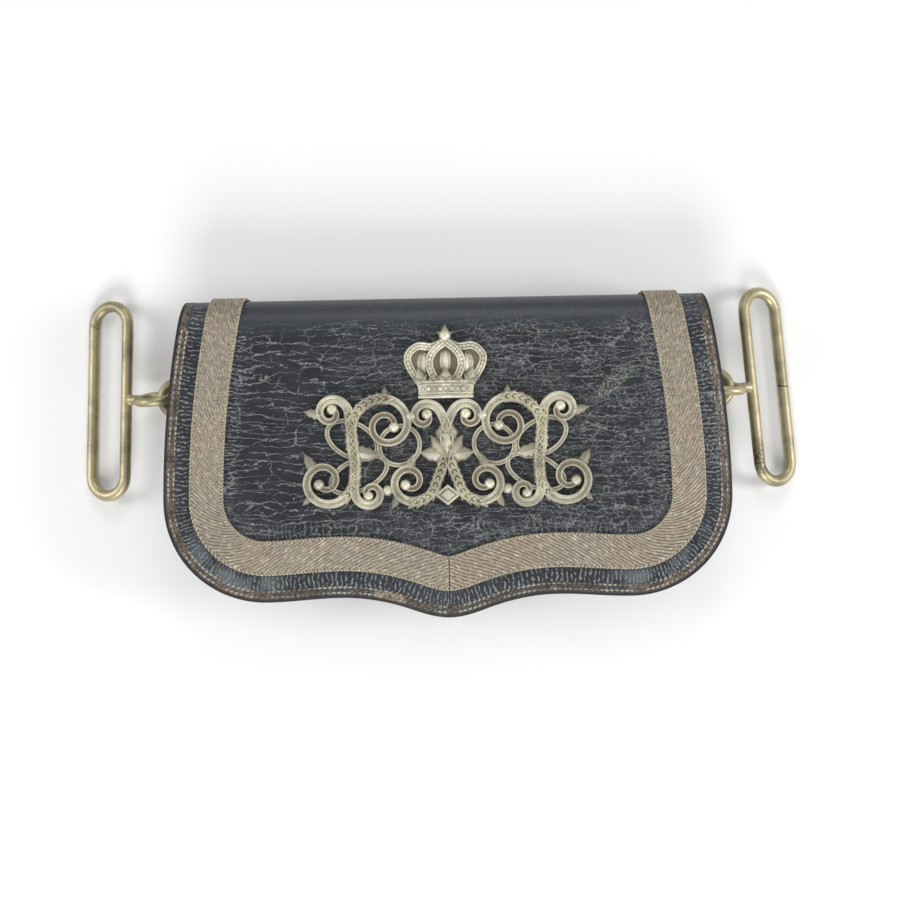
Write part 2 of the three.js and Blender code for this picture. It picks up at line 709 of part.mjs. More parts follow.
function stapleGeometry(side) {
  const bowRadius = STAPLE_BOW / 2;
  const plateX = halfBox + CLEARANCE;
  const centreX = hingeX - bowRadius;
  const points = [];
  const steps = 12;
  points.push(new THREE.Vector3(plateX + PLATE_THICKNESS / 2, stapleY - bowRadius, STAPLE_HEIGHT));
  for (let k = 0; k <= steps; k++) {
    const angle = lerp(-quarter, quarter, k / steps);
    const x = centreX + bowRadius * Math.cos(angle);
    points.push(new THREE.Vector3(x, stapleY + bowRadius * Math.sin(angle), STAPLE_HEIGHT));
  }
  points.push(new THREE.Vector3(plateX + PLATE_THICKNESS / 2, stapleY + bowRadius, STAPLE_HEIGHT));
  const placed = points.map((p) => new THREE.Vector3(side * p.x, p.y, p.z));
  const up = new THREE.Vector3(0, 0, 1);
  const bow = wireGeometry(side < 0 ? placed.reverse() : placed, up, STAPLE_WIRE, 10, false);
  const plate = new THREE.BoxGeometry(PLATE_THICKNESS, PLATE_LENGTH, PLATE_WIDTH);
  plate.translate(side * (plateX + PLATE_THICKNESS / 2), stapleY, STAPLE_HEIGHT);
  return geometryOf(joined([bow, plate]));
}

// Belt loops: a long slotted link with an eye soldered to its nearer bar.
// Built with the hinge at the origin and the link reaching out along X.
const eyeRadius = EYE_HOLE / 2 + EYE_WIRE / 2;
const play = EYE_HOLE / 2 - STAPLE_WIRE / 2 - CLEARANCE;

function loopReach(shift) {
  return shift + eyeRadius + EYE_WIRE / 2 + EYE_NECK + LOOP_WIRE / 2;
}

function loopGeometry(side, shift) {
  const nearX = loopReach(shift);
  const round = (LOOP_WIDTH - LOOP_WIRE) / 2;
  const straight = LOOP_LENGTH / 2 - LOOP_WIRE / 2 - round;
  const link = [];
  const steps = 8;
  for (const end of [-1, 1]) {
    for (let k = 0; k <= steps; k++) {
      const angle = (end < 0 ? Math.PI : 0) + (Math.PI * k) / steps;
      link.push(new THREE.Vector3(
        side * (nearX + round + round * Math.cos(angle)), end * straight + round * Math.sin(angle), 0,
      ));
    }
  }
  const up = new THREE.Vector3(0, 0, 1);
  const linkWire = wireGeometry(side < 0 ? link.reverse() : link, up, LOOP_WIRE, 10, true);

  const lean = radians(EYE_LEAN);
  const leanY = -Math.sin(lean);
  const leanZ = Math.cos(lean);
  const eye = [];
  const eyeSteps = 20;
  for (let k = 0; k < eyeSteps; k++) {
    const angle = (2 * Math.PI * k) / eyeSteps;
    const rise = eyeRadius * Math.sin(angle);
    eye.push(new THREE.Vector3(side * (shift + eyeRadius * Math.cos(angle)), rise * leanY, rise * leanZ));
  }
  const across = new THREE.Vector3(0, -leanZ, leanY);
  const eyeWire = wireGeometry(side < 0 ? eye.reverse() : eye, across, EYE_WIRE, 8, true);

  const neckStart = shift + eyeRadius + EYE_WIRE * 0.2;
  const neckEnd = nearX - LOOP_WIRE * 0.2;
  const neck = new THREE.CylinderGeometry(EYE_WIRE * 0.52, EYE_WIRE * 0.52, neckEnd - neckStart, 10);
  neck.rotateZ(quarter);
  neck.translate((side * (neckStart + neckEnd)) / 2, 0, 0);
  return geometryOf(joined([linkWire, eyeWire, neck]));
}

// The loop's far bar lies on the surface, and that sets how far the loop tilts.
function addLoop(name, side, shift, yaw) {
  const reach = loopReach(shift) + LOOP_WIDTH - LOOP_WIRE;
  const tilt = Math.asin((STAPLE_HEIGHT - LOOP_WIRE / 2) / reach);
  const turned = new THREE.Group();
  turned.position.set(side * hingeX, stapleY, STAPLE_HEIGHT);
  turned.rotation.z = side * radians(yaw);
  const tilted = new THREE.Group();
  tilted.rotation.y = side * tilt;
  turned.add(tilted);
  part.add(turned);
  addPiece(name, loopGeometry(side, shift), nickel, tilted);
}

// Closing tab: seated under the flap, bent down the bottom of the box, with a plain stud.
function tabGeometry() {
  const outerY = lowY - CLEARANCE;
  const hangY = outerY - TAB_THICKNESS;
  const underFlap = (y) => POUCH_DEPTH - sag(0, y) - LEATHER - CLEARANCE;
  const bendY = hangY - TAB_BEND;
  const steps = 5;
  const upper = [];
  const lower = [];
  for (let k = 0; k <= steps; k++) {
    const y = lerp(bendY - TAB_SEAT, bendY, k / steps);
    upper.push(new THREE.Vector2(y, underFlap(y)));
    lower.push(new THREE.Vector2(y, underFlap(y) - TAB_THICKNESS));
  }
  const bendZ = underFlap(bendY) - TAB_THICKNESS - TAB_BEND;
  for (let k = 1; k <= steps; k++) {
    const angle = quarter * (1 - k / steps);
    const outside = TAB_BEND + TAB_THICKNESS;
    upper.push(new THREE.Vector2(bendY + outside * Math.cos(angle), bendZ + outside * Math.sin(angle)));
    lower.push(new THREE.Vector2(bendY + TAB_BEND * Math.cos(angle), bendZ + TAB_BEND * Math.sin(angle)));
  }
  const endZ = bendZ - TAB_HANG;
  upper.push(new THREE.Vector2(outerY, endZ));
  lower.push(new THREE.Vector2(hangY, endZ));
  const profile = new THREE.Shape([...upper, ...lower.reverse()]);
  const strip = new THREE.ExtrudeGeometry(profile, { depth: TAB_WIDTH, bevelEnabled: false });
  strip.translate(0, 0, -TAB_WIDTH / 2);
  const swap = new THREE.Matrix4().makeBasis(
    new THREE.Vector3(0, 1, 0), new THREE.Vector3(0, 0, 1), new THREE.Vector3(1, 0, 0),
  );
  strip.applyMatrix4(swap);
  const stud = new THREE.CylinderGeometry(STUD_RADIUS * 0.7, STUD_RADIUS, STUD_HEIGHT, 14);
  stud.translate(0, hangY - STUD_HEIGHT * 0.4, bendZ - TAB_HANG / 2);
  return geometryOf(joined([strip, stud]));
}

addPiece("flap", flapGeometry(), leather);
addPiece("box", boxGeometry(), caseLeather);
addPiece("closing_tab", tabGeometry(), caseLeather);
addPiece("lace_left", laceGeometry(-1), lace);
addPiece("lace_right", laceGeometry(1), lace);
addPiece("badge_crown", crownGeometry(), silver);
addPiece("badge_scrollwork", scrollworkGeometry(), silver);
addPiece("staple_left", stapleGeometry(-1), nickel);
addPiece("staple_right", stapleGeometry(1), nickel);
addLoop("loop_left", -1, play, LEFT_YAW);
addLoop("loop_right", 1, -play, RIGHT_YAW);

export default part;
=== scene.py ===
# Finished pieces and finishes for a cross belt pouch that lies on its back.
# Lengths are in millimetres, and become the frame's metres where a mesh, a curve or a primitive takes them.
import json
import math

import bmesh
import bpy
import numpy as np
from mathutils import Matrix, Vector


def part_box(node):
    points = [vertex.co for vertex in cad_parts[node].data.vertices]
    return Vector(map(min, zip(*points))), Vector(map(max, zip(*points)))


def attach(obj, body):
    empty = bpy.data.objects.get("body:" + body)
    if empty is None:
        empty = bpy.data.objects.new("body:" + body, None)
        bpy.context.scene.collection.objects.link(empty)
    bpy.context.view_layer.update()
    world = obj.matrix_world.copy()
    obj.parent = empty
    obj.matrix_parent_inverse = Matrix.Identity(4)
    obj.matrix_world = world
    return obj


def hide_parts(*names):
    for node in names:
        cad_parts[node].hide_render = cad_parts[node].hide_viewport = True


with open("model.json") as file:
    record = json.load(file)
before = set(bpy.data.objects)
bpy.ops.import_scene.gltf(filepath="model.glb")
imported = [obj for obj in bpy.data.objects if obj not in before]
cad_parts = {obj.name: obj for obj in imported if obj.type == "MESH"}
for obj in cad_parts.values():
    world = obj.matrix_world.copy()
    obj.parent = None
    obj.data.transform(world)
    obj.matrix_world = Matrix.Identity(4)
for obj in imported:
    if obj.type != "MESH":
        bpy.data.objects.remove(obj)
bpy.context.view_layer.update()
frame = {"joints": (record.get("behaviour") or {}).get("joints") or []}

bl_info = {
    "name": "Cross belt pouch",
    "version": (1, 0, 0),
    "blender": (4, 5, 0),
    "location": "View3D > Sidebar > Pouch",
    "description": "Leather, lace, castings and belt loops of a cross belt pouch",
    "category": "Object",
}

MM = 0.001
MAP_UNIT = 100.0
ROOT = "pouch"

# Form of the leather, as in the frame
DEPTH = 34.0
BACK_FLAT = 70.0
BACK_WIDTH = 168.0
BACK_CORNER = 12.0
FRONT_FOLD = 10.0
BACK_FOLD = 6.0
FLAP_LENGTH = 102.2
SIDE_TAPER = 5.3
LOBE_RADIUS = 34.2
TROUGH_PLACE = 36.0
TROUGH_RISE = 1.1
POINT_DROP = 6.1
POINT_SHOULDER = 12.0
SHOULDER_DROP = 0.56
SHOULDER_SLOPE = 0.24
LOBE_EASE = 0.4
POINT_DROOP = 4.0
SIDE_DROOP = 1.8
DROOP_FADE = 25.0
LEATHER = 3.0

HALF_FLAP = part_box("flap")[1][0] / MM
HALF_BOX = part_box("box")[1][0] / MM
TOP_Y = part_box("flap")[1][1] / MM
LOW_Y = TOP_Y - BACK_FOLD - BACK_FLAT
FRONT_TOP = TOP_Y - FRONT_FOLD
LOBE_Y = TOP_Y - FLAP_LENGTH
WIDEST_Y = LOBE_Y + LOBE_RADIUS
POINT_Y = LOBE_Y - POINT_DROP
FOLD_ENDS = np.cumsum([
    FRONT_FOLD * math.pi / 2, DEPTH - FRONT_FOLD - BACK_FOLD, BACK_FOLD * math.pi / 2, BACK_FLAT,
])


# Curves and the flap's surface

def bezier(points, steps):
    """Points along a Bezier curve of any degree."""
    level = [np.array(point, dtype=float) for point in points]
    shares = np.linspace(0, 1, steps + 1)[:, None]
    while len(level) > 1:
        level = [a + (b - a) * shares for a, b in zip(level, level[1:])]
    return level[0]


def arc(centre, radius, first, last, steps):
    angles = np.radians(np.linspace(first, last, steps + 1))
    return np.stack([centre[0] + radius * np.cos(angles), centre[1] + radius * np.sin(angles)], axis=1)


def strung(*runs):
    """Runs of points one after another, without the doubled joints."""
    return np.concatenate([runs[0]] + [run[1:] for run in runs[1:]])


def lengths_along(points):
    steps = np.linalg.norm(np.diff(points, axis=0), axis=1)
    return np.concatenate([[0.0], np.cumsum(steps)])


def at_shares(points, shares):
    """Places at shares of the length of a run of points."""
    run = lengths_along(points)
    wanted = np.asarray(shares) * run[-1]
    return np.stack([np.interp(wanted, run, values) for values in points.T], axis=-1)


def inset_by(points, inset):
    """A run of points moved square to itself, inwards for an edge that runs clockwise."""
    ahead = np.concatenate([points[1:], points[-1:]])
    behind = np.concatenate([points[:1], points[:-1]])
    along = ahead - behind
    along /= np.linalg.norm(along, axis=1)[:, None]
    return points + np.stack([along[:, 1], -along[:, 0]], axis=1) * inset


def side_run():
    """Right edge of the front, from the fold down to the middle of the lower corner."""
    top = (HALF_FLAP - SIDE_TAPER, FRONT_TOP)
    bow = (HALF_FLAP, (FRONT_TOP + WIDEST_Y) / 2)
    side = bezier([top, bow, (HALF_FLAP, WIDEST_Y)], 60)
    return strung(side, arc((HALF_FLAP - LOBE_RADIUS, WIDEST_Y), LOBE_RADIUS, 0, -45, 30))


def corner_run():
    return arc((HALF_FLAP - LOBE_RADIUS, WIDEST_Y), LOBE_RADIUS, -45, -90, 30)


def bottom_run():
    """Lower edge from the bottom of the lobe to the middle point."""
    lobe = np.array([HALF_FLAP - LOBE_RADIUS, LOBE_Y])
    trough = np.array([TROUGH_PLACE, LOBE_Y + TROUGH_RISE])
    shoulder = np.array([POINT_SHOULDER, LOBE_Y - POINT_DROP * SHOULDER_DROP])
    point = np.array([0.0, POINT_Y])
    rise = np.array([POINT_SHOULDER / 3, POINT_DROP * SHOULDER_SLOPE])

    def ease(a, b, share):
        return np.array([a[0] + (b[0] - a[0]) * share, a[1]])

    return strung(
        bezier([lobe, ease(lobe, trough, LOBE_EASE), ease(trough, lobe, LOBE_EASE), trough], 60),
        bezier([trough, ease(trough, shoulder, 1 / 3), shoulder + 2 * rise, shoulder], 40),
        bezier([shoulder, shoulder - rise, ease(point, shoulder, 1 / 3), point], 40),
    )


def half_width_past(run):
    """Half width of the leather past the fold, by length along it."""
    run = np.asarray(run, dtype=float)
    slope = 2 * SIDE_TAPER / (FRONT_TOP - WIDEST_Y)
    end = FOLD_ENDS[2]
    top = HALF_FLAP - SIDE_TAPER
    used = np.minimum(run, end)
    over = top - slope * (used - used * used / (2 * end))
    at_end = top - slope * end / 2
    width = at_end + (BACK_WIDTH / 2 - at_end) * (run - end) / BACK_FLAT
    left = np.clip(FOLD_ENDS[3] - run, 0, None)
    short = np.clip(BACK_CORNER - left, 0, BACK_CORNER)
    width = width - BACK_CORNER + np.sqrt(np.clip(BACK_CORNER**2 - short**2, 0, None))
    return np.where(run <= end, over, width)


def sag(x, y):
    """How far the front droops past the box."""
    below = np.clip((LOW_Y - y) / (LOW_Y - POINT_Y), 0, None)
    beside = np.clip((np.abs(x) - HALF_BOX) / (HALF_FLAP - HALF_BOX), 0, None)
    near = np.clip((FRONT_TOP - y) / DROOP_FADE, 0, 1)
    return POINT_DROOP * below**2 + SIDE_DROOP * beside**2 * near * near * (3 - 2 * near)


def flap_places(x, v, height):
    """Places over the flap's face. v is y on the front, and length along the leather past the fold."""
    x, v, height = (np.asarray(a, dtype=float) for a in np.broadcast_arrays(x, v, height))
    run = v - FRONT_TOP
    step = 0.01
    slope_x = (sag(x + step, v) - sag(x - step, v)) / (2 * step)
    slope_y = (sag(x, v + step) - sag(x, v - step)) / (2 * step)
    size = np.sqrt(slope_x**2 + slope_y**2 + 1)
    front_turn = run / FRONT_FOLD
    back_turn = (run - FOLD_ENDS[1]) / BACK_FOLD
    front_radius = FRONT_FOLD + height
    back_radius = BACK_FOLD + height
    stretches = [run <= 0, run < FOLD_ENDS[0], run < FOLD_ENDS[1], run < FOLD_ENDS[2]]
    y = np.select(stretches, [
        v + slope_y / size * height,
        FRONT_TOP + front_radius * np.sin(front_turn),
        TOP_Y + height,
        TOP_Y - BACK_FOLD + back_radius * np.cos(back_turn),
    ], TOP_Y - BACK_FOLD - (run - FOLD_ENDS[2]))
    z = np.select(stretches, [
        DEPTH - sag(x, v) + height / size,
        DEPTH - FRONT_FOLD + front_radius * np.cos(front_turn),
        DEPTH - FRONT_FOLD - (run - FOLD_ENDS[0]),
        BACK_FOLD - back_radius * np.sin(back_turn),
    ], -height)
    x = np.where(run <= 0, x + slope_x / size * height, x)
    return np.stack([x, y, z], axis=-1)


def half_outline():
    """The leather's right edge laid flat, from the middle point up the side and over to the back's lower edge."""
    straight = FOLD_ENDS[3] - BACK_CORNER
    corner = FOLD_ENDS[3] - BACK_CORNER * (1 - np.sin(np.linspace(0, math.pi / 2, 12)))
    runs = strung(np.linspace(0, straight, 80), corner)
    past = np.stack([half_width_past(runs), FRONT_TOP + runs], axis=1)
    front = strung(side_run(), corner_run(), bottom_run())[::-1]
    return strung(front, past, np.array([past[-1], [0.0, past[-1][1]]]))


def edge_facts(x, v):
    """Length along the edge from the middle point, and distance in from the edge, for places laid flat."""
    line = half_outline()
    run = lengths_along(line)
    starts, spans = line[:-1], np.diff(line, axis=0)
    squares = np.maximum((spans**2).sum(axis=1), 1e-9)
    along, inset = np.empty((2, len(x)))
    places = np.stack([np.abs(x), v], axis=1)
    batch = 4000
    for first in range(0, len(x), batch):
        part = places[first:first + batch, None, :]
        share = np.clip(((part - starts) * spans).sum(axis=2) / squares, 0, 1)
        gap = np.linalg.norm(part - starts - share[..., None] * spans, axis=2)
        best = gap.argmin(axis=1)
        rows = np.arange(len(best))
        inset[first:first + batch] = gap[rows, best]
        along[first:first + batch] = run[best] + share[rows, best] * np.sqrt(squares[best])
    return along, inset


# Modelling by hand

def deselect():
    if bpy.context.object and bpy.context.object.mode != "OBJECT":
        bpy.ops.object.mode_set(mode="OBJECT")
    bpy.ops.object.select_all(action="DESELECT")


def take(piece):
    deselect()
    piece.select_set(True)
    bpy.context.view_layer.objects.active = piece
    return piece


def named(name):
    piece = bpy.context.object
    piece.name = name
    piece.data.name = name
    return piece


def apply_place(piece):
    take(piece)
    bpy.ops.object.transform_apply(location=True, rotation=True, scale=True)
    return piece


def primitive(kind, name, place=(0, 0, 0), **settings):
    """A mesh primitive at a place. Its other settings are the operator's own, in metres."""
    deselect()
    getattr(bpy.ops.mesh, f"primitive_{kind}_add")(location=Vector(place) * MM, **settings)
    return apply_place(named(name))


def apply_modifier(piece, kind, **settings):
    take(piece)
    bpy.ops.object.modifier_add(type=kind)
    modifier = piece.modifiers[-1]
    for key, value in settings.items():
        setattr(modifier, key, value)
    bpy.ops.object.modifier_apply(modifier=modifier.name)
    return piece


def rounded(piece, width, segments=3):
    """Sharp edges bevelled."""
    return apply_modifier(
        piece, "BEVEL", width=width * MM, segments=segments, limit_method="ANGLE", angle_limit=math.radians(50),
    )


def remeshed(piece, voxel, smoothings):
    """Overlapping shapes run together, with a soft fillet where they meet."""
    apply_modifier(piece, "REMESH", mode="VOXEL", voxel_size=voxel * MM)
    return apply_modifier(piece, "SMOOTH", factor=0.5, iterations=smoothings)


def joined(name, pieces):
    take(pieces[0])
    for piece in pieces:
        piece.select_set(True)
    bpy.ops.object.join()
    return named(name)


def pick(piece, kind, test):
    """Edit mode, with the faces or edges selected that pass a test."""
    take(piece)
    bpy.ops.object.mode_set(mode="EDIT")
    bpy.ops.mesh.select_all(action="DESELECT")
    mesh = bmesh.from_edit_mesh(piece.data)
    for item in getattr(mesh, kind):
        item.select = test(item)
    bmesh.update_edit_mesh(piece.data)


def closed_up(piece):
    """Doubles merged and every face turned outwards."""
    take(piece)
    bpy.ops.object.mode_set(mode="EDIT")
    bpy.ops.mesh.select_all(action="SELECT")
    bpy.ops.mesh.remove_doubles(threshold=1e-6)
    bpy.ops.mesh.normals_make_consistent(inside=False)
    bpy.ops.object.mode_set(mode="OBJECT")
    return piece


def places_of(mesh):
    """The mesh's own coordinates."""
    flat = np.empty(len(mesh.vertices) * 3)
    mesh.vertices.foreach_get("co", flat)
    return flat.reshape(-1, 3)


def set_places(mesh, places):
    """Vertices moved to places in millimetres."""
    mesh.vertices.foreach_set("co", np.ascontiguousarray(places * MM).ravel())
    mesh.update()


def drop_maps(mesh):
    while mesh.uv_layers:
        mesh.uv_layers.remove(mesh.uv_layers[0])


def set_map(mesh, name, u, v):
    """A UV map from a pair of measures at each vertex, stored in a small unit so that it stays near 0 to 1."""
    layer = mesh.uv_layers.new(name=name)
    corners = np.empty(len(mesh.loops), dtype=np.int64)
    mesh.loops.foreach_get("vertex_index", corners)
    layer.data.foreach_set("uv", np.stack([u, v], axis=1)[corners].ravel() / MAP_UNIT)


def set_crest(piece, low, high):
    """A map that runs from 0 in a casting's hollows to 1 on its crests."""
    mesh = piece.data
    drop_maps(mesh)
    share = np.clip((places_of(mesh)[:, 2] / MM - low) / (high - low), 0, 1)
    set_map(mesh, "Cast", share, share)
    return piece


def laid_grid(name, columns, rows, lay):
    """A grid primitive laid by a function of its shares across and up, which also gives its UV maps."""
    piece = primitive("grid", name, x_subdivisions=columns, y_subdivisions=rows, size=1)
    start = places_of(piece.data)
    places, maps = lay(start[:, 0] + 0.5, start[:, 1] + 0.5)
    set_places(piece.data, places)
    drop_maps(piece.data)
    for key, (u, v) in maps.items():
        set_map(piece.data, key, u, v)
    return piece


def drawn(name, points, dimensions, closed):
    """A curve object through points of x, y, z and radius."""
    deselect()
    bpy.ops.curve.primitive_nurbs_path_add()
    piece = named(name)
    curve = piece.data
    curve.dimensions = dimensions
    curve.splines.clear()
    spline = curve.splines.new("POLY")
    spline.points.add(len(points) - 1)
    for point, (x, y, z, radius) in zip(spline.points, points):
        point.co = (x * MM, y * MM, z * MM, 1)
        point.radius = radius
    spline.use_cyclic_u = closed
    return piece


def section(name, points):
    """A closed outline to be swept, across and up."""
    return drawn(name, [(x, y, 0, 1) for x, y in points], "2D", True)


def round_section(name, radius, sides=20):
    return section(name, arc((0, 0), radius, 0, 360, sides)[:-1])


def swept(name, points, profile, closed=False, radii=1.0):
    """A section swept along places, as a curve made a mesh."""
    scales = np.broadcast_to(radii, len(points))
    piece = drawn(name, np.column_stack([points, scales]), "3D", closed)
    piece.data.twist_mode = "Z_UP"
    piece.data.bevel_mode = "OBJECT"
    piece.data.bevel_object = profile
    piece.data.use_fill_caps = not closed
    bpy.ops.object.convert(target="MESH")
    return closed_up(named(name))


def ball(name, radius, segments, rings, place=(0, 0, 0), stretch=(1, 1, 1)):
    return primitive(
        "uv_sphere", name, place, segments=segments, ring_count=rings, radius=radius * MM, scale=stretch,
    )


def copies_at(name, model, placings):
    """One mesh copied to many placings, as one piece that takes its place."""
    whole = bmesh.new()
    for placing in placings:
        mesh = model.data.copy()
        mesh.transform(placing)
        whole.from_mesh(mesh)
        bpy.data.meshes.remove(mesh)
    mesh = bpy.data.meshes.new(name)
    whole.to_mesh(mesh)
    whole.free()
    drop(model)
    piece = bpy.data.objects.new(name, mesh)
    bpy.context.collection.objects.link(piece)
    return take(piece)


def beads_at(name, beads, segments, rings):
    """Balls from a list of x, y, z and radius."""
    return copies_at(name, ball("bead", 1.0, segments, rings), [
        Matrix.Translation(Vector(place) * MM) @ Matrix.Scale(radius, 4) for *place, radius in beads
    ])


def smooth(piece, degrees=180):
    take(piece)
    if degrees < 180:
        bpy.ops.object.shade_smooth_by_angle(angle=math.radians(degrees))
    else:
        bpy.ops.object.shade_smooth()


def drop(piece):
    bpy.data.objects.remove(piece, do_unlink=True)


def complete(piece, body, nodes, material):
    """Finish, body, stand-in and material slot of a piece."""
    piece.data.materials.clear()
    piece.data.materials.append(material)
    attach(piece, body)
    if nodes:
        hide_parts(*nodes)
    deselect()


# Shader expressions

class Value:
    """A socket that takes part in arithmetic."""

    def __init__(self, finish, socket):
        self.finish = finish
        self.socket = socket

    def maths(self, operation, *values):
        return self.finish.add("ShaderNodeMath", {"operation": operation}, dict(enumerate(values)))

    def __add__(self, other):
        return self.maths("ADD", self, other)

    __radd__ = __add__

    def __sub__(self, other):
        return self.maths("SUBTRACT", self, other)

    def __rsub__(self, other):
        return self.maths("SUBTRACT", other, self)

    def __mul__(self, other):
        return self.maths("MULTIPLY", self, other)

    __rmul__ = __mul__

    def __truediv__(self, other):
        return self.maths("DIVIDE", self, other)

    def __abs__(self):
        return self.maths("ABSOLUTE", self)

    def square(self):
        return self * self

    def sine(self):
        return self.maths("SINE", self)

    def over(self, other):
        return self.maths("MAXIMUM", self, other)

    def line_gap(self, pitch):
        """Distance to the nearest of the lines that lie a pitch apart."""
        return abs(self.maths("FRACT", self / pitch) - 0.5) * pitch

    def ease(self, low, high):
        """0 below low and 1 above high, with a soft step between them."""
        if low > high:
            return 1 - self.ease(high, low)
        values = {"Value": self, "From Min": low, "From Max": high}
        return self.finish.add("ShaderNodeMapRange", {"interpolation_type": "SMOOTHSTEP"}, values)


class Finish:
    """A node material in the making, with the colour that its layers build up."""

    def __init__(self, name, **surface):
        self.material = bpy.data.materials.new(name)
        self.material.use_nodes = True
        self.tree = self.material.node_tree
        self.surface = self.tree.nodes["Principled BSDF"]
        self.colour = None
        self.feed(self.surface, surface)

    def feed(self, node, values):
        """Values or links into a node's sockets, by their number or their name with underscores."""
        in_use = {socket.name: socket for socket in node.inputs if socket.enabled}
        for key, value in values.items():
            socket = in_use[key.replace("_", " ")] if isinstance(key, str) else node.inputs[key]
            if isinstance(value, Value):
                self.tree.links.new(value.socket, socket)
            elif socket.type == "RGBA":
                socket.default_value = (*value, 1.0)
            else:
                socket.default_value = value

    def add(self, kind, settings, values, out=0):
        """A node of a kind, with its settings first, as the value of one of its outputs in use."""
        node = self.tree.nodes.new(kind)
        for key, value in settings.items():
            setattr(node, key, value)
        self.feed(node, values)
        outputs = [socket for socket in node.outputs if socket.enabled]
        return Value(self, node.outputs[out] if isinstance(out, str) else outputs[out])

    def object_place(self):
        """Object coordinates in millimetres."""
        return self.scaled(self.add("ShaderNodeTexCoord", {}, {}, "Object"), (1 / MM,) * 3)

    def scaled(self, vector, factors):
        return self.add("ShaderNodeVectorMath", {"operation": "MULTIPLY"}, {0: vector, 1: factors})

    def shifted(self, vector, other):
        return self.add("ShaderNodeVectorMath", {"operation": "ADD"}, {0: vector, 1: other})

    def map_parts(self, name):
        """A UV map in its own measures, whole and as its two values."""
        place = self.scaled(self.add("ShaderNodeUVMap", {"uv_map": name}, {}), (MAP_UNIT, MAP_UNIT, 0))
        return place, *self.parts(place)[:2]

    def parts(self, vector):
        node = self.tree.nodes.new("ShaderNodeSeparateXYZ")
        self.feed(node, {0: vector})
        return [Value(self, socket) for socket in node.outputs]

    def combined(self, x, y, z=0.0):
        return self.add("ShaderNodeCombineXYZ", {}, {0: x, 1: y, 2: z})

    def noise(self, vector, scale, detail=3.0, roughness=0.5, out=0):
        values = {"Vector": vector, "Scale": scale, "Detail": detail, "Roughness": roughness}
        return self.add("ShaderNodeTexNoise", {}, values, out)

    def cells(self, vector, scale, feature="DISTANCE_TO_EDGE"):
        return self.add("ShaderNodeTexVoronoi", {"feature": feature}, {"Vector": vector, "Scale": scale}, "Distance")

    def mix(self, share, first, second):
        return self.add("ShaderNodeMix", {"data_type": "RGBA"}, {"Factor": share, "A": first, "B": second})

    def coat(self, share, colour):
        """A layer of colour over what is there."""
        self.colour = self.mix(share, self.colour, colour)

    def wear(self, rough, relief, distance, strength, **more):
        """The finished material, with all that varies over its surface."""
        bump = self.add("ShaderNodeBump", {}, {"Height": relief, "Distance": distance * MM, "Strength": strength})
        self.feed(self.surface, {"Base_Color": self.colour, "Roughness": rough, "Normal": bump, **more})
        return self.material


def shade(colour, factor):
    return tuple(min(1.0, c * factor) for c in colour)


# Finishes

# Families of cracks: pitch, seed, reach of their slow and quick straying, and width
LONG_CRACKS = (3.0, 3.0, 16.0, 3.4, 0.24)
STRAY_CRACKS = (4.1, 41.0, 22.0, 4.0, 0.2)
SHORT_CRACKS = (1.9, 17.0, 12.0, 2.6, 0.17)
JITTER = 1.3
# Nets of cracks: cells to the millimetre across and up, seed, width in cells, and the noise where the net fades in
CELLS = ((0.36, 0.66, 1), 5.0, 0.055, 0.44, 0.54)
SMALL_CELLS = ((0.7, 1.1, 1), 23.0, 0.065, 0.54, 0.62)
WIDE_CELLS = ((0.13, 0.16, 1), 61.0, 0.022, 0.46, 0.54)
SCALES = ((0.5, 0.75, 1), 9.0, 0.06, 0.34, 0.5)
# Rows of ticks square to the edge: pitch, first and last distance from the edge, and width
LACE_TICKS = (1.7, 20.6, 27.5, 0.3)
MARGIN_TICKS = (1.5, 4.2, 13.0, 0.34)
# Places of marks, as x and y
SCUFF = (56.0, 10.0)
# Middle of the painted sheen on each lower corner
SHEEN_CORNER = (70.0, -47.0)
TAN_SPOT = -20.0
RIGHT_SEAM = (118.0, 10.8)
LEFT_SEAM = (-124.0, 36.5)
BURN = (109.5, -15.5)
# Colours that no setting names
DRY_SCUFF = (0.36, 0.34, 0.27)
ROSY = (0.12, 0.07, 0.075)
FIBRE = (0.38, 0.36, 0.31)
BLACK_RIM = (0.008, 0.008, 0.009)
BRIGHT_THREAD = (0.60, 0.55, 0.42)
GLINT = (0.66, 0.60, 0.45)
EDGE_CORD = (0.62, 0.56, 0.41)
PALE_STITCH = (0.38, 0.36, 0.30)


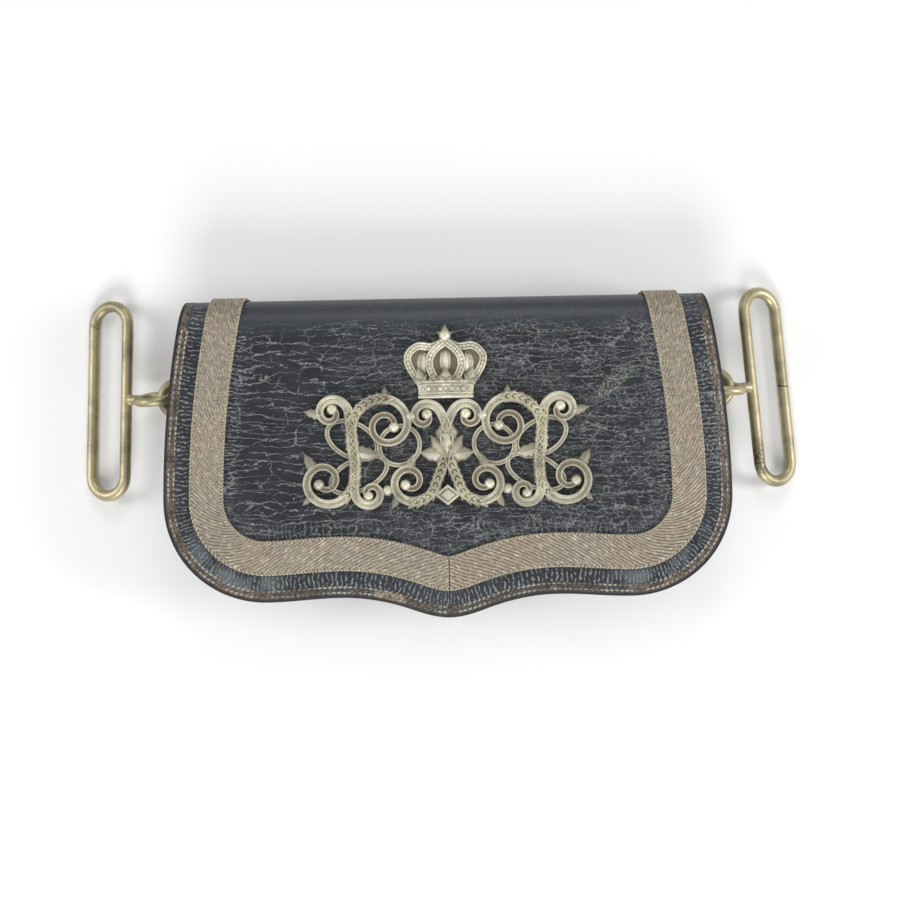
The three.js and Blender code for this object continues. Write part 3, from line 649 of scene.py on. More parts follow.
def crazing(finish, flat, x, v, patches, specks):
    """Cracks all over the flap: long on the left, short and netted on the right, faint at the fold."""
    def strays(seed, slow, quick):
        """How far a family of cracks wanders from its level."""
        moved = finish.shifted(flat, (seed, seed * 1.7, 0))
        waves = (((0.022, 0.05, 1), 1.0, slow), ((0.13, 0.22, 1), 2.0, quick), ((0.55, 0.9, 1), 2.0, JITTER))
        return sum(
            (finish.noise(finish.scaled(moved, scale), 1.0, detail) - 0.5) * reach for scale, detail, reach in waves
        )

    def family(pitch, seed, slow, quick, width):
        """Thin wavy lines that run across the leather and come and go."""
        gap = (v + strays(seed, slow, quick)).line_gap(pitch)
        along = finish.shifted(finish.scaled(flat, (0.07, 0.42, 1)), (seed, seed, 0))
        present = finish.noise(along, 1.0, 3.0, 0.6)
        swell = finish.noise(finish.scaled(flat, (0.35, 0.6, 1)), 1.0, 2.0)
        return (1 - (gap / (width * (0.4 + 1.2 * swell))).ease(0.3, 1.0)) * present.ease(0.42, 0.52)

    rightward = (x + (patches - 0.5) * 70).ease(-50, 0)
    below_fold = 0.14 + 0.86 * (v + (patches - 0.5) * 12).ease(33.5, 26.0)
    long_cracks = family(*LONG_CRACKS).over(family(*STRAY_CRACKS) * 0.9)
    cracks = (long_cracks * (1 - 0.3 * rightward)).over(family(*SHORT_CRACKS) * (0.1 + 0.6 * rightward))
    cracks = cracks.over(net(finish, flat, *CELLS) * rightward * 0.75)
    cracks = cracks.over(net(finish, flat, *SMALL_CELLS) * rightward * 0.6).over(net(finish, flat, *WIDE_CELLS) * 0.8)
    return cracks * below_fold * (0.3 + 0.7 * specks.ease(0.4, 0.6))


def net(finish, flat, scale, seed, width, low, high):
    """Cells of dry cracks."""
    wander = finish.noise(finish.shifted(flat, (seed, 0, 0)), 0.35, 3.0, out="Color")
    drifted = finish.shifted(flat, finish.scaled(wander, (3.2, 2.2, 0)))
    present = finish.noise(finish.shifted(flat, (seed, seed, 0)), 0.16, 3.0, 0.6)
    return finish.cells(finish.scaled(drifted, scale), 1.0).ease(width, width * 0.25) * present.ease(low, high)


def tooling(finish, flat, v, run, inset, specks):
    """Short cracks square to the edge, in the margin and next to the lace."""
    wander = (finish.noise(flat, 0.3, 3.0) - 0.5) * 2.8 + (specks - 0.5) * 0.8
    present = finish.noise(flat, 0.7, 2.0).ease(0.4, 0.56)

    def ticks(pitch, first, last, width):
        gap = (run + wander).line_gap(pitch)
        reach = inset.ease(last, first) * inset.ease(first - 0.6, first)
        return (1 - (gap / width).ease(0.35, 1.0)) * reach * present

    rows = ticks(*LACE_TICKS) * v.ease(32.0, 28.0) * (0.3 + 0.7 * v.ease(-42.0, -34.0))
    return rows.over(ticks(*MARGIN_TICKS) * inset.ease(3.3, 4.0) * inset.ease(10.6, 9.4) * 0.9)


def flap_leather(colours):
    """Polished leather, crazed all over, with a worn and tooled edge, and painted sheen along the fold, over the back
    and on the lower corners.
    """
    finish = Finish("crazed_leather", Specular_IOR_Level=0.5, IOR=1.5)
    flat, x, v = finish.map_parts("Flat")
    _, run, inset = finish.map_parts("Edge")
    patches = finish.noise(flat, 0.045, 2.0)
    specks = finish.noise(flat, 1.1, 2.0)
    dull = finish.noise(flat, 0.09, 4.0, 0.6)
    ragged = finish.noise(flat, 0.9, 4.0, 0.65)
    cracks = crazing(finish, flat, x, v, patches, specks) * inset.ease(8.0, 10.0)
    cracks = cracks.over(tooling(finish, flat, v, run, inset, specks))

    finish.colour = finish.mix(dull.ease(0.3, 0.75), shade(colours.leather, 0.75), shade(colours.leather, 1.3))
    # Painted sheen: the leather lighter along the fold and over the back past it.
    fold_sheen = v.ease(26.0, 33.0)
    finish.coat(fold_sheen * 0.5, shade(colours.leather, 2.7))
    finish.coat(cracks * 0.85, colours.crack)

    beside = x - SCUFF[0]
    above = v - SCUFF[1] - beside * 0.7
    scuff = (beside.square() * 0.5 + above.square() * 1.5).ease(30.0, 8.0)
    finish.coat(scuff * finish.noise(flat, 1.3, 3.0).ease(0.46, 0.66) * 0.6, DRY_SCUFF)
    # Painted sheen: a grey-blue patch of reflected light on each lower corner, inside the margin.
    corner_sheen = ((abs(x) - SHEEN_CORNER[0]).square() + (v - SHEEN_CORNER[1]).square()).ease(420.0, 60.0)
    corner_sheen = corner_sheen * inset.ease(2.0, 3.6) * inset.ease(10.0, 7.0)
    finish.coat(corner_sheen * dull.ease(0.4, 0.6) * 0.45, colours.corner_sheen)

    border = inset.ease(3.5, 3.0)
    sideways = 0.35 + 0.65 * abs(x).ease(48.0, 70.0)
    worn = finish.mix(ragged.ease(0.35, 0.7), shade(colours.worn_edge, 0.2), shade(colours.worn_edge, 0.95))
    worn = finish.mix(patches.ease(0.45, 0.6) * 0.5, worn, ROSY)
    worn = finish.mix(finish.noise(flat, 2.4, 2.0).ease(0.56, 0.7) * 0.6, worn, FIBRE)
    finish.coat(border * (0.2 + 0.7 * finish.noise(flat, 0.35, 3.0).ease(0.4, 0.56)) * sideways, worn)
    finish.coat(border * (1 - sideways) * specks.ease(0.56, 0.64) * 0.6, colours.crack)
    spot = (x - TAN_SPOT).square().ease(34.0, 10.0) * inset.ease(3.8, 3.0) * inset.ease(0.8, 1.4)
    finish.coat(spot * ragged.ease(0.35, 0.55) * 0.8, shade(colours.worn_edge, 1.5))
    scaly = x.ease(78.0, 84.0) * v.ease(-26.0, -14.0) * v.ease(24.0, 14.0) * inset.ease(9.2, 8.4)
    finish.coat(net(finish, flat, *SCALES) * scaly * 0.65, colours.crack)
    finish.coat(inset.ease(1.2, 0.7), BLACK_RIM)

    rough = 0.33 + 0.25 * cracks + 0.16 * dull + 0.2 * border
    relief = (0.7 - 0.7 * cracks) + ragged * border * 0.5 + finish.noise(flat, 3.0, 2.0) * 0.1
    return finish.wear(rough, relief, 0.3, 0.8)


def case_leather(colours):
    """Plain smooth leather with a fine grain, and rubbed places with a few creases."""
    finish = Finish("case_leather", Specular_IOR_Level=0.45)
    place = finish.object_place()
    pebbles = finish.cells(place, 1.4, "F1")
    rubbed = finish.noise(place, 0.06, 4.0, 0.6)
    creases = finish.cells(place, 0.5).ease(0.06, 0.02) * rubbed.ease(0.5, 0.62)
    finish.colour = finish.mix(rubbed.ease(0.4, 0.8), shade(colours.leather, 0.6), shade(colours.crack, 0.13))
    finish.coat(creases * 0.5, shade(colours.crack, 0.5))
    relief = pebbles * 0.5 + finish.noise(place, 0.7, 3.0) * 0.5
    return finish.wear(0.45 + 0.2 * rubbed, relief, 0.12, 0.6)


def lace_thread(colours):
    """Tarnished metal lace: rib crowns in the thread's colour with painted glints, painted shade in the valleys between
    the ribs, dark spots of grime, fine windings across each rib.
    """
    finish = Finish("metal_lace", Specular_IOR_Level=0.5)
    _, along, across = finish.map_parts("Band")
    _, height, phase = finish.map_parts("Rib")
    place = finish.object_place()
    patches = finish.noise(place, 0.05, 3.0, 0.6)
    spots = finish.noise(place, 0.9, 3.0, 0.6)
    hairs = finish.noise(finish.combined(phase * 1.4, along * 0.5, across * 0.5), 1.0, 3.0, 0.6)
    fray = finish.noise(finish.combined(phase * 0.7, along * 1.3, across * 1.3), 1.0, 3.0, 0.7)
    # Dark colour for the painted shade between the ribs, and for spots of grime.
    valley_shade_and_dirt = shade(colours.lace, 0.12)
    upright = along.ease(86.0, 62.0) * 0.5
    thread = finish.mix(patches.ease(0.4, 0.62), colours.lace, colours.lace_warm)
    thread = finish.mix(hairs.ease(0.45, 0.7) * 0.45, thread, shade(colours.lace, 1.75))
    # Painted shade: the valleys between the ribs go dark and the crowns keep the thread's colour, by rib height; on the
    # upright strips the fraying noise decides it.
    depth = height * (1 - upright) + fray * upright * 1.5 + (hairs - 0.5) * 0.5
    finish.colour = finish.mix(depth.ease(0.25, 0.85), valley_shade_and_dirt, thread)
    finish.coat(fray.ease(0.58, 0.7) * (0.15 + upright), BRIGHT_THREAD)
    finish.coat(spots.ease(0.52, 0.75) * 0.4, valley_shade_and_dirt)
    finish.coat(hairs.ease(0.56, 0.66) * height.ease(0.5, 0.9) * (1 - upright) * 0.7, GLINT)
    off_middle = (across - 5.6).square()
    finish.coat(off_middle.ease(23.0, 28.0) * height.ease(0.4, 0.85) * 0.45, EDGE_CORD)
    windings = ((along * 0.454 + across * 0.891 + spots * 0.3) * (2 * math.pi / 0.42)).sine()
    relief = windings * 0.4 + spots * 0.9 + hairs * 0.6
    return finish.wear(0.42 + 0.25 * spots, relief, 0.12, 0.8, Metallic=0.2 + 0.35 * height)


def cast_silver(colours):
    """Silvered casting, bright on its crests and brown in its hollows."""
    finish = Finish("cast_silver", Specular_IOR_Level=0.5)
    place = finish.object_place()
    height = finish.parts(place)[2] - DEPTH
    _, crest, _ = finish.map_parts("Cast")
    patches = finish.noise(place, 0.12, 4.0, 0.6)
    grit = finish.noise(place, 1.6, 3.0, 0.6)
    fine = finish.noise(place, 4.0, 2.0)
    bright = (crest + (grit - 0.5) * 0.5).ease(0.05, 0.7)
    crests = finish.mix(patches.ease(0.35, 0.65), colours.silver, shade(colours.silver, 0.66))
    finish.colour = finish.mix(bright, shade(colours.tarnish, 1.3), crests)
    finish.coat((height + (grit - 0.5) * 0.8).ease(1.0, 0.1), shade(colours.tarnish, 0.2))
    finish.coat(fine.ease(0.6, 0.75) * 0.45, shade(colours.tarnish, 0.4))
    rough = 0.27 + 0.25 * grit + 0.1 * patches
    return finish.wear(rough, grit * 0.7 + fine * 0.4, 0.2, 0.9, Metallic=0.3 + 0.3 * bright)


def worn_nickel(colours):
    """Drawn nickel wire, polished by wear, darker low down near the floor, with a seam in each loop."""
    finish = Finish("worn_nickel", Specular_IOR_Level=0.5)
    place = finish.object_place()
    x, y, low = finish.parts(place)
    stains = finish.noise(place, 0.09, 4.0, 0.65)
    pits = finish.noise(place, 1.3, 3.0, 0.6)
    finish.colour = finish.mix(stains.ease(0.42, 0.7), colours.nickel, shade(colours.nickel, 0.6))
    finish.coat(pits.ease(0.62, 0.8) * 0.5, shade(colours.tarnish, 0.5))
    # Darker low down, towards the floor.
    finish.coat((low + stains * 4).ease(4.0, 2.2) * 0.5, shade(colours.tarnish, 0.6))
    right = abs(y - RIGHT_SEAM[1] + (x - RIGHT_SEAM[0]) * 0.07).ease(0.3, 0.12) * x.ease(116.0, 116.6)
    left = abs(y - LEFT_SEAM[1] + (x - LEFT_SEAM[0]) * 0.5).ease(0.26, 0.1) * x.ease(-121.5, -122.0)
    finish.coat(right.over(left * 0.7) * 0.9, shade(colours.tarnish, 0.15))
    burn = ((x - BURN[0]).square() * 0.4 + (y - BURN[1]).square()).ease(40.0, 6.0)
    finish.coat(burn * pits.ease(0.35, 0.6) * 0.75, shade(colours.tarnish, 0.3))
    rough = 0.33 + 0.2 * stains + 0.12 * pits
    return finish.wear(rough, pits + stains * 2, 0.08, 0.7, Metallic=0.95 - 0.3 * pits.ease(0.6, 0.8))


def stitch_thread(colours):
    """Waxed thread, pale in some stretches and stained in others."""
    finish = Finish("stitch_thread", Specular_IOR_Level=0.3)
    place = finish.object_place()
    faded = finish.noise(place, 0.12, 3.0, 0.6)
    ply = finish.noise(place, 2.5, 2.0)
    finish.colour = finish.mix(faded.ease(0.42, 0.58), shade(colours.worn_edge, 0.6), PALE_STITCH)
    return finish.wear(0.6 + 0.2 * ply, ply, 0.08, 0.8)


def pale_floor(colours):
    finish = Finish("pale_floor", Specular_IOR_Level=0.2)
    soft = finish.noise(finish.object_place(), 0.01, 2.0)
    colour = finish.mix(soft, shade(colours.floor, 0.985), colours.floor)
    finish.feed(finish.surface, {"Base_Color": colour, "Roughness": 0.7 + 0.1 * soft})
    return finish.material


# Settings

def length(name, description, default, low=0.0, high=1.0):
    return bpy.props.FloatProperty(
        name=name, description=description, default=default, min=low, max=high, unit="LENGTH", precision=5,
    )


def colour(name, description, default):
    return bpy.props.FloatVectorProperty(
        name=name, description=description, default=default, size=3, min=0.0, max=1.0, subtype="COLOR",
    )


class PouchSizes(bpy.types.PropertyGroup):
    lace_width: length("Lace width", "Width of the metal lace", 0.0114)
    lace_margin: length("Lace margin", "Flap edge to lace", 0.009)
    lace_turn: length("Lace turn", "Length of lace over the fold", 0.024)
    rib_pitch: length("Rib pitch", "Distance between the lace's ribs, square to them", 0.00098)
    rib_height: length("Rib height", "Height of the lace's ribs", 0.0004)
    stitch: length("Stitch", "Length of one stitch", 0.0015)
    stitch_gap: length("Stitch gap", "Gap between stitches", 0.0002)
    stitch_margin: length("Stitch margin", "Flap edge to the stitching", 0.0036)
    ribbon: length("Ribbon", "Width of a scroll's ribbon", 0.0026)
    scroll_relief: length("Scroll relief", "Height of the scrollwork", 0.0026)
    crown_relief: length("Crown relief", "Height of the crown", 0.004)
    loop_wire: length("Loop wire", "Thickness of the belt loops", 0.004)
    eye_wire: length("Eye wire", "Thickness of the loops' eyes", 0.0032)
    staple_wire: length("Staple wire", "Thickness of the staples", 0.0032)


class PouchColours(bpy.types.PropertyGroup):
    leather: colour("Leather", "Flap leather", (0.0155, 0.0185, 0.0235))
    crack: colour("Crazing", "Cracks in the leather", (0.31, 0.325, 0.325))
    # Colour of the painted sheen on the flap's lower corners
    corner_sheen: colour("Painted_sheen", "Grey bloom on the lower corners", (0.19, 0.225, 0.235))
    worn_edge: colour("Worn edge", "Rubbed edge of the flap", (0.25, 0.195, 0.135))
    lace: colour("Lace", "Metal lace", (0.345, 0.303, 0.238))
    lace_warm: colour("Warm lace", "Warm patches of the lace", (0.38, 0.305, 0.235))
    silver: colour("Silver", "Badge castings", (0.80, 0.77, 0.62))
    tarnish: colour("Tarnish", "Tarnish on the metal", (0.20, 0.17, 0.115))
    nickel: colour("Nickel", "Belt loops and staples", (0.53, 0.47, 0.30))
    floor: colour("Floor", "Floor", (0.93, 0.93, 0.93))


def measures(*names):
    """Settings in millimetres."""
    return [getattr(bpy.context.scene.pouch_sizes, name) / MM for name in names]


def tints():
    return bpy.context.scene.pouch_colours


# Pieces

class POUCH_OT_flap(bpy.types.Operator):
    """Lay the flap and back as one sheet of leather"""

    bl_idname = "pouch.flap"
    bl_label = "Flap"

    columns = 168
    front_rows = 92
    back_rows = (14, 8, 9, 19, 8)
    edge_round = 0.7

    def rows_past_fold(self):
        """Lengths along the leather past the fold, closer where it turns."""
        ends = [0.0, *FOLD_ENDS[:3], FOLD_ENDS[3] - BACK_CORNER]
        turn = np.linspace(0, math.pi / 2, self.back_rows[-1] + 1)[1:]
        return np.concatenate([
            *(np.linspace(a, b, count + 1)[1:] for a, b, count in zip(ends, ends[1:], self.back_rows)),
            FOLD_ENDS[3] - BACK_CORNER * (1 - np.sin(turn)),
        ])

    def execute(self, context):
        side = side_run()
        lower = strung(corner_run(), bottom_run())
        corner, top = side[-1], side[0]
        past = self.rows_past_fold()
        rows = self.front_rows + len(past)

        def lay(across, up):
            """The front fills its outline, and what is past the fold goes by its half width."""
            share = 2 * across - 1
            u = np.abs(share)
            row = np.rint(up * rows).astype(int)
            t = np.clip(1 - row / self.front_rows, 0, 1)
            s = at_shares(side, t)
            b = at_shares(lower, 1 - u)
            x = (1 - t) * u * top[0] + t * b[:, 0] + u * s[:, 0] - u * ((1 - t) * top[0] + t * corner[0])
            middle = FRONT_TOP + (POINT_Y - FRONT_TOP) * t
            level = (1 - u) * ((1 - t) * FRONT_TOP + t * POINT_Y) + u * ((1 - t) * FRONT_TOP + t * corner[1])
            y = (1 - t) * FRONT_TOP + t * b[:, 1] + (1 - u) * middle + u * s[:, 1] - level
            run = past[np.clip(row - self.front_rows - 1, 0, len(past) - 1)]
            is_past = row > self.front_rows
            x = np.where(is_past, u * half_width_past(run), x) * np.sign(share)
            v = np.where(is_past, FRONT_TOP + run, y)
            return flap_places(x, v, 0.0), {"Flat": (x, v), "Edge": edge_facts(x, v)}

        piece = laid_grid("flap_leather", self.columns, rows, lay)
        apply_modifier(piece, "SOLIDIFY", thickness=LEATHER * MM, offset=-1.0, use_even_offset=True)
        rounded(piece, self.edge_round)
        smooth(piece)
        complete(piece, ROOT, ["flap"], flap_leather(tints()))
        return {"FINISHED"}


class POUCH_OT_stitching(bpy.types.Operator):
    """Sew two lines of stitches round the flap"""

    bl_idname = "pouch.stitching"
    bl_label = "Stitching"

    thread = (0.8, 0.6)
    lift = 0.1
    middle_gap = 0.6

    def execute(self, context):
        stitch, gap, margin = measures("stitch", "stitch_gap", "stitch_margin")
        edge = strung(side_run(), corner_run(), bottom_run())
        placings = []
        for inset in (margin, margin / 2):
            line = inset_by(edge, inset)
            line = line[line[:, 0] > self.middle_gap]
            count = int(lengths_along(line)[-1] / (stitch + gap))
            shares = (np.arange(count) + 0.5) / count
            runs = [at_shares(line, shares), at_shares(line, shares + 0.1 / count)]
            for side in (-1, 1):
                here, ahead = (flap_places(side * run[:, 0], run[:, 1], self.lift) for run in runs)
                for place, step in zip(here, (ahead - here) * MM):
                    turn = Vector(step).to_track_quat("X", "Z").to_matrix().to_4x4()
                    placings.append(Matrix.Translation(Vector(place) * MM) @ turn)
        model = primitive("uv_sphere", "stitch", segments=6, ring_count=5, radius=0.5, rotation=(0, math.pi / 2, 0))
        model.scale = Vector((stitch, *self.thread)) * MM
        piece = copies_at("flap_stitching", apply_place(model), placings)
        smooth(piece)
        complete(piece, ROOT, [], stitch_thread(tints()))
        return {"FINISHED"}


class POUCH_OT_lace(bpy.types.Operator):
    """Lay the ribbed metal lace round the flap, mitred in the middle"""

    bl_idname = "pouch.lace"
    bl_label = "Lace"

    mitre = 0.15
    across = 34
    step = 0.21
    seat = 0.02
    thickness = 1.25
    leans = ((0, 66, 84, 97, 113, 130), (27, 27, 48, 43, 33, 29))
    cord_width = 0.8
    cord_middle = 0.35
    cord_reach = 0.55
    cord_pitch = 1.2
    tuck = (0.05, 0.25)

    def line(self, inset, turn):
        """One line of the lace laid flat, with its parts before and after the lower lobe."""
        runs = np.linspace(turn, 0, 60)
        over = np.stack([half_width_past(runs), FRONT_TOP + runs], axis=1)
        upper = inset_by(strung(over, side_run(), corner_run()), inset)
        lower = inset_by(bottom_run(), inset)
        kept = lower[lower[:, 0] > self.mitre]
        before, last = kept[-2], kept[-1]
        reach = (last[0] - self.mitre) / (before[0] - last[0])
        end = np.array([self.mitre, last[1] - (before[1] - last[1]) * reach])
        return upper, np.concatenate([kept, [end]])

    def form(self, along, inset, width, phase):
        """Ribs, with a twisted cord along both edges, as shares of the relief."""
        rib = np.abs(np.sin(math.pi * phase))**0.55
        border = np.minimum(inset, width - inset)
        twist = np.where(inset < width / 2, 1, -1) * border * 0.75
        rope = np.abs(np.sin(math.pi * (along + twist) / self.cord_pitch))**0.7
        crown = np.clip(1 - ((border - self.cord_middle) / self.cord_reach)**2, 0, 1)**0.5
        return np.where(border < self.cord_width, crown * (0.05 + 0.95 * rope) * 1.15, rib)

    def execute(self, context):
        width, margin, turn, pitch, relief = measures(
            "lace_width", "lace_margin", "lace_turn", "rib_pitch", "rib_height",
        )
        shares = np.linspace(0, 1, self.across + 1)
        halves = [self.line(margin + width * share, turn) for share in shares]
        middle_runs = [lengths_along(run) for run in halves[self.across // 2]]
        upper_length, lower_length = (run[-1] for run in middle_runs)
        upper_wanted, lower_wanted = (np.linspace(0, 1, round(run[-1] / self.step) + 1) for run in middle_runs)
        upper_shares = middle_runs[0] / upper_length
        table = np.array([
            strung(
                np.stack([np.interp(upper_wanted, upper_shares, values) for values in upper.T], axis=1),
                at_shares(lower, lower_wanted),
            ) for upper, lower in halves
        ])
        along = strung(upper_wanted * upper_length, upper_length + lower_wanted * lower_length)
        rows = len(along) - 1
        lean = np.radians(np.interp(along, *self.leans))
        turned = np.concatenate([[0.0], np.cumsum(np.sin((lean[1:] + lean[:-1]) / 2) * np.diff(along))])

        for side, label in ((-1, "left"), (1, "right")):
            def lay(across, up):
                j = np.rint((across if side < 0 else 1 - across) * self.across).astype(int)
                i = rows - np.rint(up * rows).astype(int)
                flat = table[j, i]
                t = shares[j] * width
                s = along[i]
                phase = (turned[i] - t * np.cos(lean[i])) / pitch
                phase = phase + 0.06 * np.sin(0.83 * s + 1.1 * t) + 0.035 * np.sin(2.3 * s - 0.7 * t)
                form = self.form(s, t, width, phase)
                tucked = np.where(np.minimum(t, width - t) < self.tuck[0], self.tuck[1], 0.0)
                places = flap_places(
                    side * flat[:, 0], flat[:, 1], self.thickness - relief + relief * form - tucked,
                )
                return places, {"Band": (s, t), "Rib": (np.clip(form, 0, 1), phase)}

            piece = laid_grid(f"lace_{label}_band", self.across, rows, lay)
            apply_modifier(
                piece, "SOLIDIFY", thickness=(self.thickness - relief - self.seat) * MM, offset=-1.0,
            )
            smooth(piece, 60)
            complete(piece, ROOT, [f"lace_{label}"], lace_thread(tints()))
        return {"FINISHED"}


# Castings. Volutes: middle, radius, and where they start and how far they wind in degrees. Middles are shares
# of the scrollwork's half width and height, and radii of its height.

VOLUTES = {
    "upper": (0.385, 0.185, 0.27, 350, 560),
    "outer": (0.775, -0.235, 0.235, 170, 520),
    "crest": (0.735, 0.285, 0.15, 190, -440),
    "heel": (0.485, -0.335, 0.135, 20, -430),
    "inner": (0.14, 0.245, 0.135, 170, -400),
    "lower": (0.235, -0.25, 0.2, 185, 500),
}
# Scrolls: first and last volute, and how straight the run between them leaves them
SCROLLS = (("upper", "outer", 0.5), ("inner", "lower", 0.45), ("crest", "heel", 0.5))
# Leaves: place, direction in degrees, and length
LEAVES = (
    (0.385, 0.4, 90, 0.1), (0.8, 0.28, 15, 0.14), (0.86, -0.14, 62, 0.15), (0.87, -0.345, -45, 0.1),
    (0.6, -0.02, 188, 0.22), (0.05, -0.03, 8, 0.22), (0.23, -0.14, 104, 0.13), (0.32, -0.35, -60, 0.12),
)
# Ovals: middle, width, height, and tilt in degrees
OVALS = ((0.6, 0.08, 0.17, 0.13, 28), (0.56, -0.19, 0.19, 0.12, -24), (0.3, 0.03, 0.13, 0.15, -30))
TIES = (("upper", "inner"), ("upper", "crest"), ("inner", "crest"))
# Heart of leaves: direction in degrees, and length
HEART = ((90, 0.34), (55, 0.22), (125, 0.22))
HEART_PLACE = (0.0, -0.07)
LOZENGE_PLACE = (0.0, -0.36)


def shaped_ball(name, shape, segments=14, rings=12):
    """A sphere with its poles along X, whose points are laid by a function of run, side and height."""
    piece = primitive("uv_sphere", name, segments=segments, ring_count=rings, radius=1)
    across, upward, run = places_of(piece.data).T
    ring = np.sqrt(np.clip(1 - run**2, 1e-9, None))
    side, up = (np.where(ring > 1e-3, values / ring, 0) for values in (across, upward))
    set_places(piece.data, shape((run + 1) / 2, side, up))
    return closed_up(piece)


def leaf(name, place, degrees, size, seat, relief, width=0.3, lobes=3):
    """A cast leaf with a raised midrib and lobed sides, seated on a plane."""
    turn = math.radians(degrees)
    along = np.array([math.cos(turn), math.sin(turn)])
    aside = np.array([-along[1], along[0]])

    def shape(run, side, up):
        swell = np.sin(math.pi * np.clip(run, 0, 1)**0.75) ** 0.8
        edge = width * size * swell * (1 + 0.16 * np.cos(2 * math.pi * lobes * run))
        rib = 1 - 0.55 * np.abs(side)**1.2 + 0.35 * np.exp(-(side / 0.16)**2)
        veins = 1 - 0.12 * np.cos(2 * math.pi * (lobes * run - 1.2 * np.abs(side)))
        flat = place + (run * 1.12 - 0.12)[:, None] * size * along + (side * edge)[:, None] * aside
        lift = np.where(up > -0.05, np.clip(up, 0, 1)**0.6 * rib * veins * (0.35 + 0.65 * swell), 0)
        return np.column_stack([flat, seat + relief * lift])

    return shaped_ball(name, shape)


class POUCH_OT_scrollwork(bpy.types.Operator):
    """Cast the scrollwork of channelled ribbons, leaves and beads"""

    bl_idname = "pouch.scrollwork"
    bl_label = "Scrollwork"

    width = 105.0
    height = 43.0
    under_crown = 0.11
    seat = DEPTH + 0.05
    eye = 0.24
    volute_steps = 40
    bridge_steps = 24
    leaf_step = 2.3
    leaf_length = 3.4
    leaf_spread = 38
    crest_lift = 0.12
    oval_steps = 48
    oval_size = 0.58
    bar_size = 0.75
    lozenge_insets = ((0.6, 0.0), (0.35, -0.7), (0.5, 0.9))

    def place(self, x, y, side=1):
        return np.array([side * x * self.width / 2, self.middle + y * self.height])

    def volute(self, name):
        x, y, radius, start, turn = VOLUTES[name]
        share = np.linspace(0, 1, self.volute_steps + 1)
        reach = radius * self.height * self.eye**share
        angle = np.radians(start + turn * share)
        return self.place(x, y) + np.stack([np.cos(angle), np.sin(angle)], axis=1) * reach[:, None]

    def scroll(self, first, last, ease):
        unwinding = self.volute(first)[::-1]
        winding = self.volute(last)
        handle = np.linalg.norm(winding[0] - unwinding[-1]) * ease
        leave = unwinding[-1] - unwinding[-2]
        arrive = winding[0] - winding[1]
        leave = unwinding[-1] + leave / np.linalg.norm(leave) * handle
        arrive = winding[0] + arrive / np.linalg.norm(arrive) * handle
        bridge = bezier([unwinding[-1], leave, arrive, winding[0]], self.bridge_steps)
        return strung(unwinding, bridge, winding)

    def execute(self, context):
        self.ribbon, self.relief = measures("ribbon", "scroll_relief")
        self.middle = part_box("badge_crown")[0][1] / MM + self.height * (self.under_crown - 0.5)
        self.pieces = []
        self.beads = []
        half, rise = self.ribbon / 2, self.relief
        right = ((1, 0), (1, 0.86), (0.9, 1), (0.62, 1), (0.46, 0.74))
        outline = [*right, (0, 0.66), *((-x, z) for x, z in right[::-1])]
        self.channel = section("channel", [(x * half, z * rise) for x, z in outline])
        for side in (-1, 1):
            self.half(side)
        for angle, share in HEART:
            self.leaf(self.place(*HEART_PLACE), angle, share, 1.25, 1.25)
        self.cast(self.lozenge(), rise * 0.5, rise)
        self.cast(beads_at("beads", self.beads, 12, 8), 0.0, rise)
        drop(self.channel)
        piece = joined("badge_scrollwork_casting", self.pieces)
        smooth(piece, 50)
        complete(piece, ROOT, ["badge_scrollwork"], cast_silver(tints()))
        return {"FINISHED"}

    def cast(self, piece, low, high):
        """One more piece, with its hollows and crests at heights above the seat."""
        self.pieces.append(set_crest(piece, self.seat + low, self.seat + high))

    def bead(self, place, lift, radius):
        self.beads.append((*place, self.seat + lift, radius))

    def leaf(self, root, angle, share, rise, crest):
        foliage = leaf("leaf", root, angle, share * self.height, self.seat, self.relief * rise)
        self.cast(foliage, 0.3, self.relief * crest)

    def ribbons(self, name, flat, radii, low, high, lift=0.0, closed=False):
        """A channelled ribbon along a flat run."""
        places = np.column_stack([flat, np.full(len(flat), self.seat + lift)])
        self.cast(swept(name, places, self.channel, closed, radii), self.relief * low, self.relief * high)

    def bar(self, start, end):
        places = np.column_stack([[start, end], [self.seat] * 2])
        self.cast(swept("bar", places, self.channel, radii=self.bar_size), 0.0, 2.0)

    def half(self, side):
        """Scrolls, ovals, leaves and ties on one side."""
        runs = {}
        for first, last, ease in SCROLLS:
            flat = runs[first] = self.scroll(first, last, ease) * np.array([side, 1])
            radii = 0.78 + 0.52 * np.sin(math.pi * np.linspace(0, 1, len(flat)))**2
            self.ribbons(f"scroll_{first}", flat, radii, 0.6, 1.0, self.crest_lift if first == "crest" else 0.0)
            self.foliage(flat)
            for end in (flat[0], flat[-1]):
                self.bead(end, self.ribbon * 0.4, self.ribbon * 0.72)
        for x, y, wide, tall, tilt in OVALS:
            angle = np.linspace(0, 2 * math.pi, self.oval_steps + 1)[:-1]
            turn = math.radians(tilt * side)
            oval = np.column_stack([
                np.cos(angle) * wide * self.width / 2, np.sin(angle) * tall * self.height,
            ]) @ np.array([[math.cos(turn), math.sin(turn)], [-math.sin(turn), math.cos(turn)]])
            self.ribbons("oval", oval + self.place(x, y, side), self.oval_size, 0.32, 0.58, closed=True)
        everything = np.concatenate(list(runs.values()))

        def nearest(point):
            return everything[np.linalg.norm(everything - point, axis=1).argmin()]

        for x, y, angle, share in LEAVES:
            self.leaf(nearest(self.place(x, y, side)), angle if side > 0 else 180 - angle, share, 0.95, 0.9)
        for first, last in TIES:
            gaps = np.linalg.norm(runs[first][:, None] - runs[last][None], axis=2)
            a, b = np.unravel_index(gaps.argmin(), gaps.shape)
            start, end = runs[first][a], runs[last][b]
            self.bead((start + end) / 2, self.ribbon * 0.4, self.ribbon * 0.7)
            if gaps.min() > self.ribbon / 2:
                self.bar(start, end)
        for centre in (HEART_PLACE, LOZENGE_PLACE):
            start = self.place(*centre)
            self.bar(start, nearest(start))

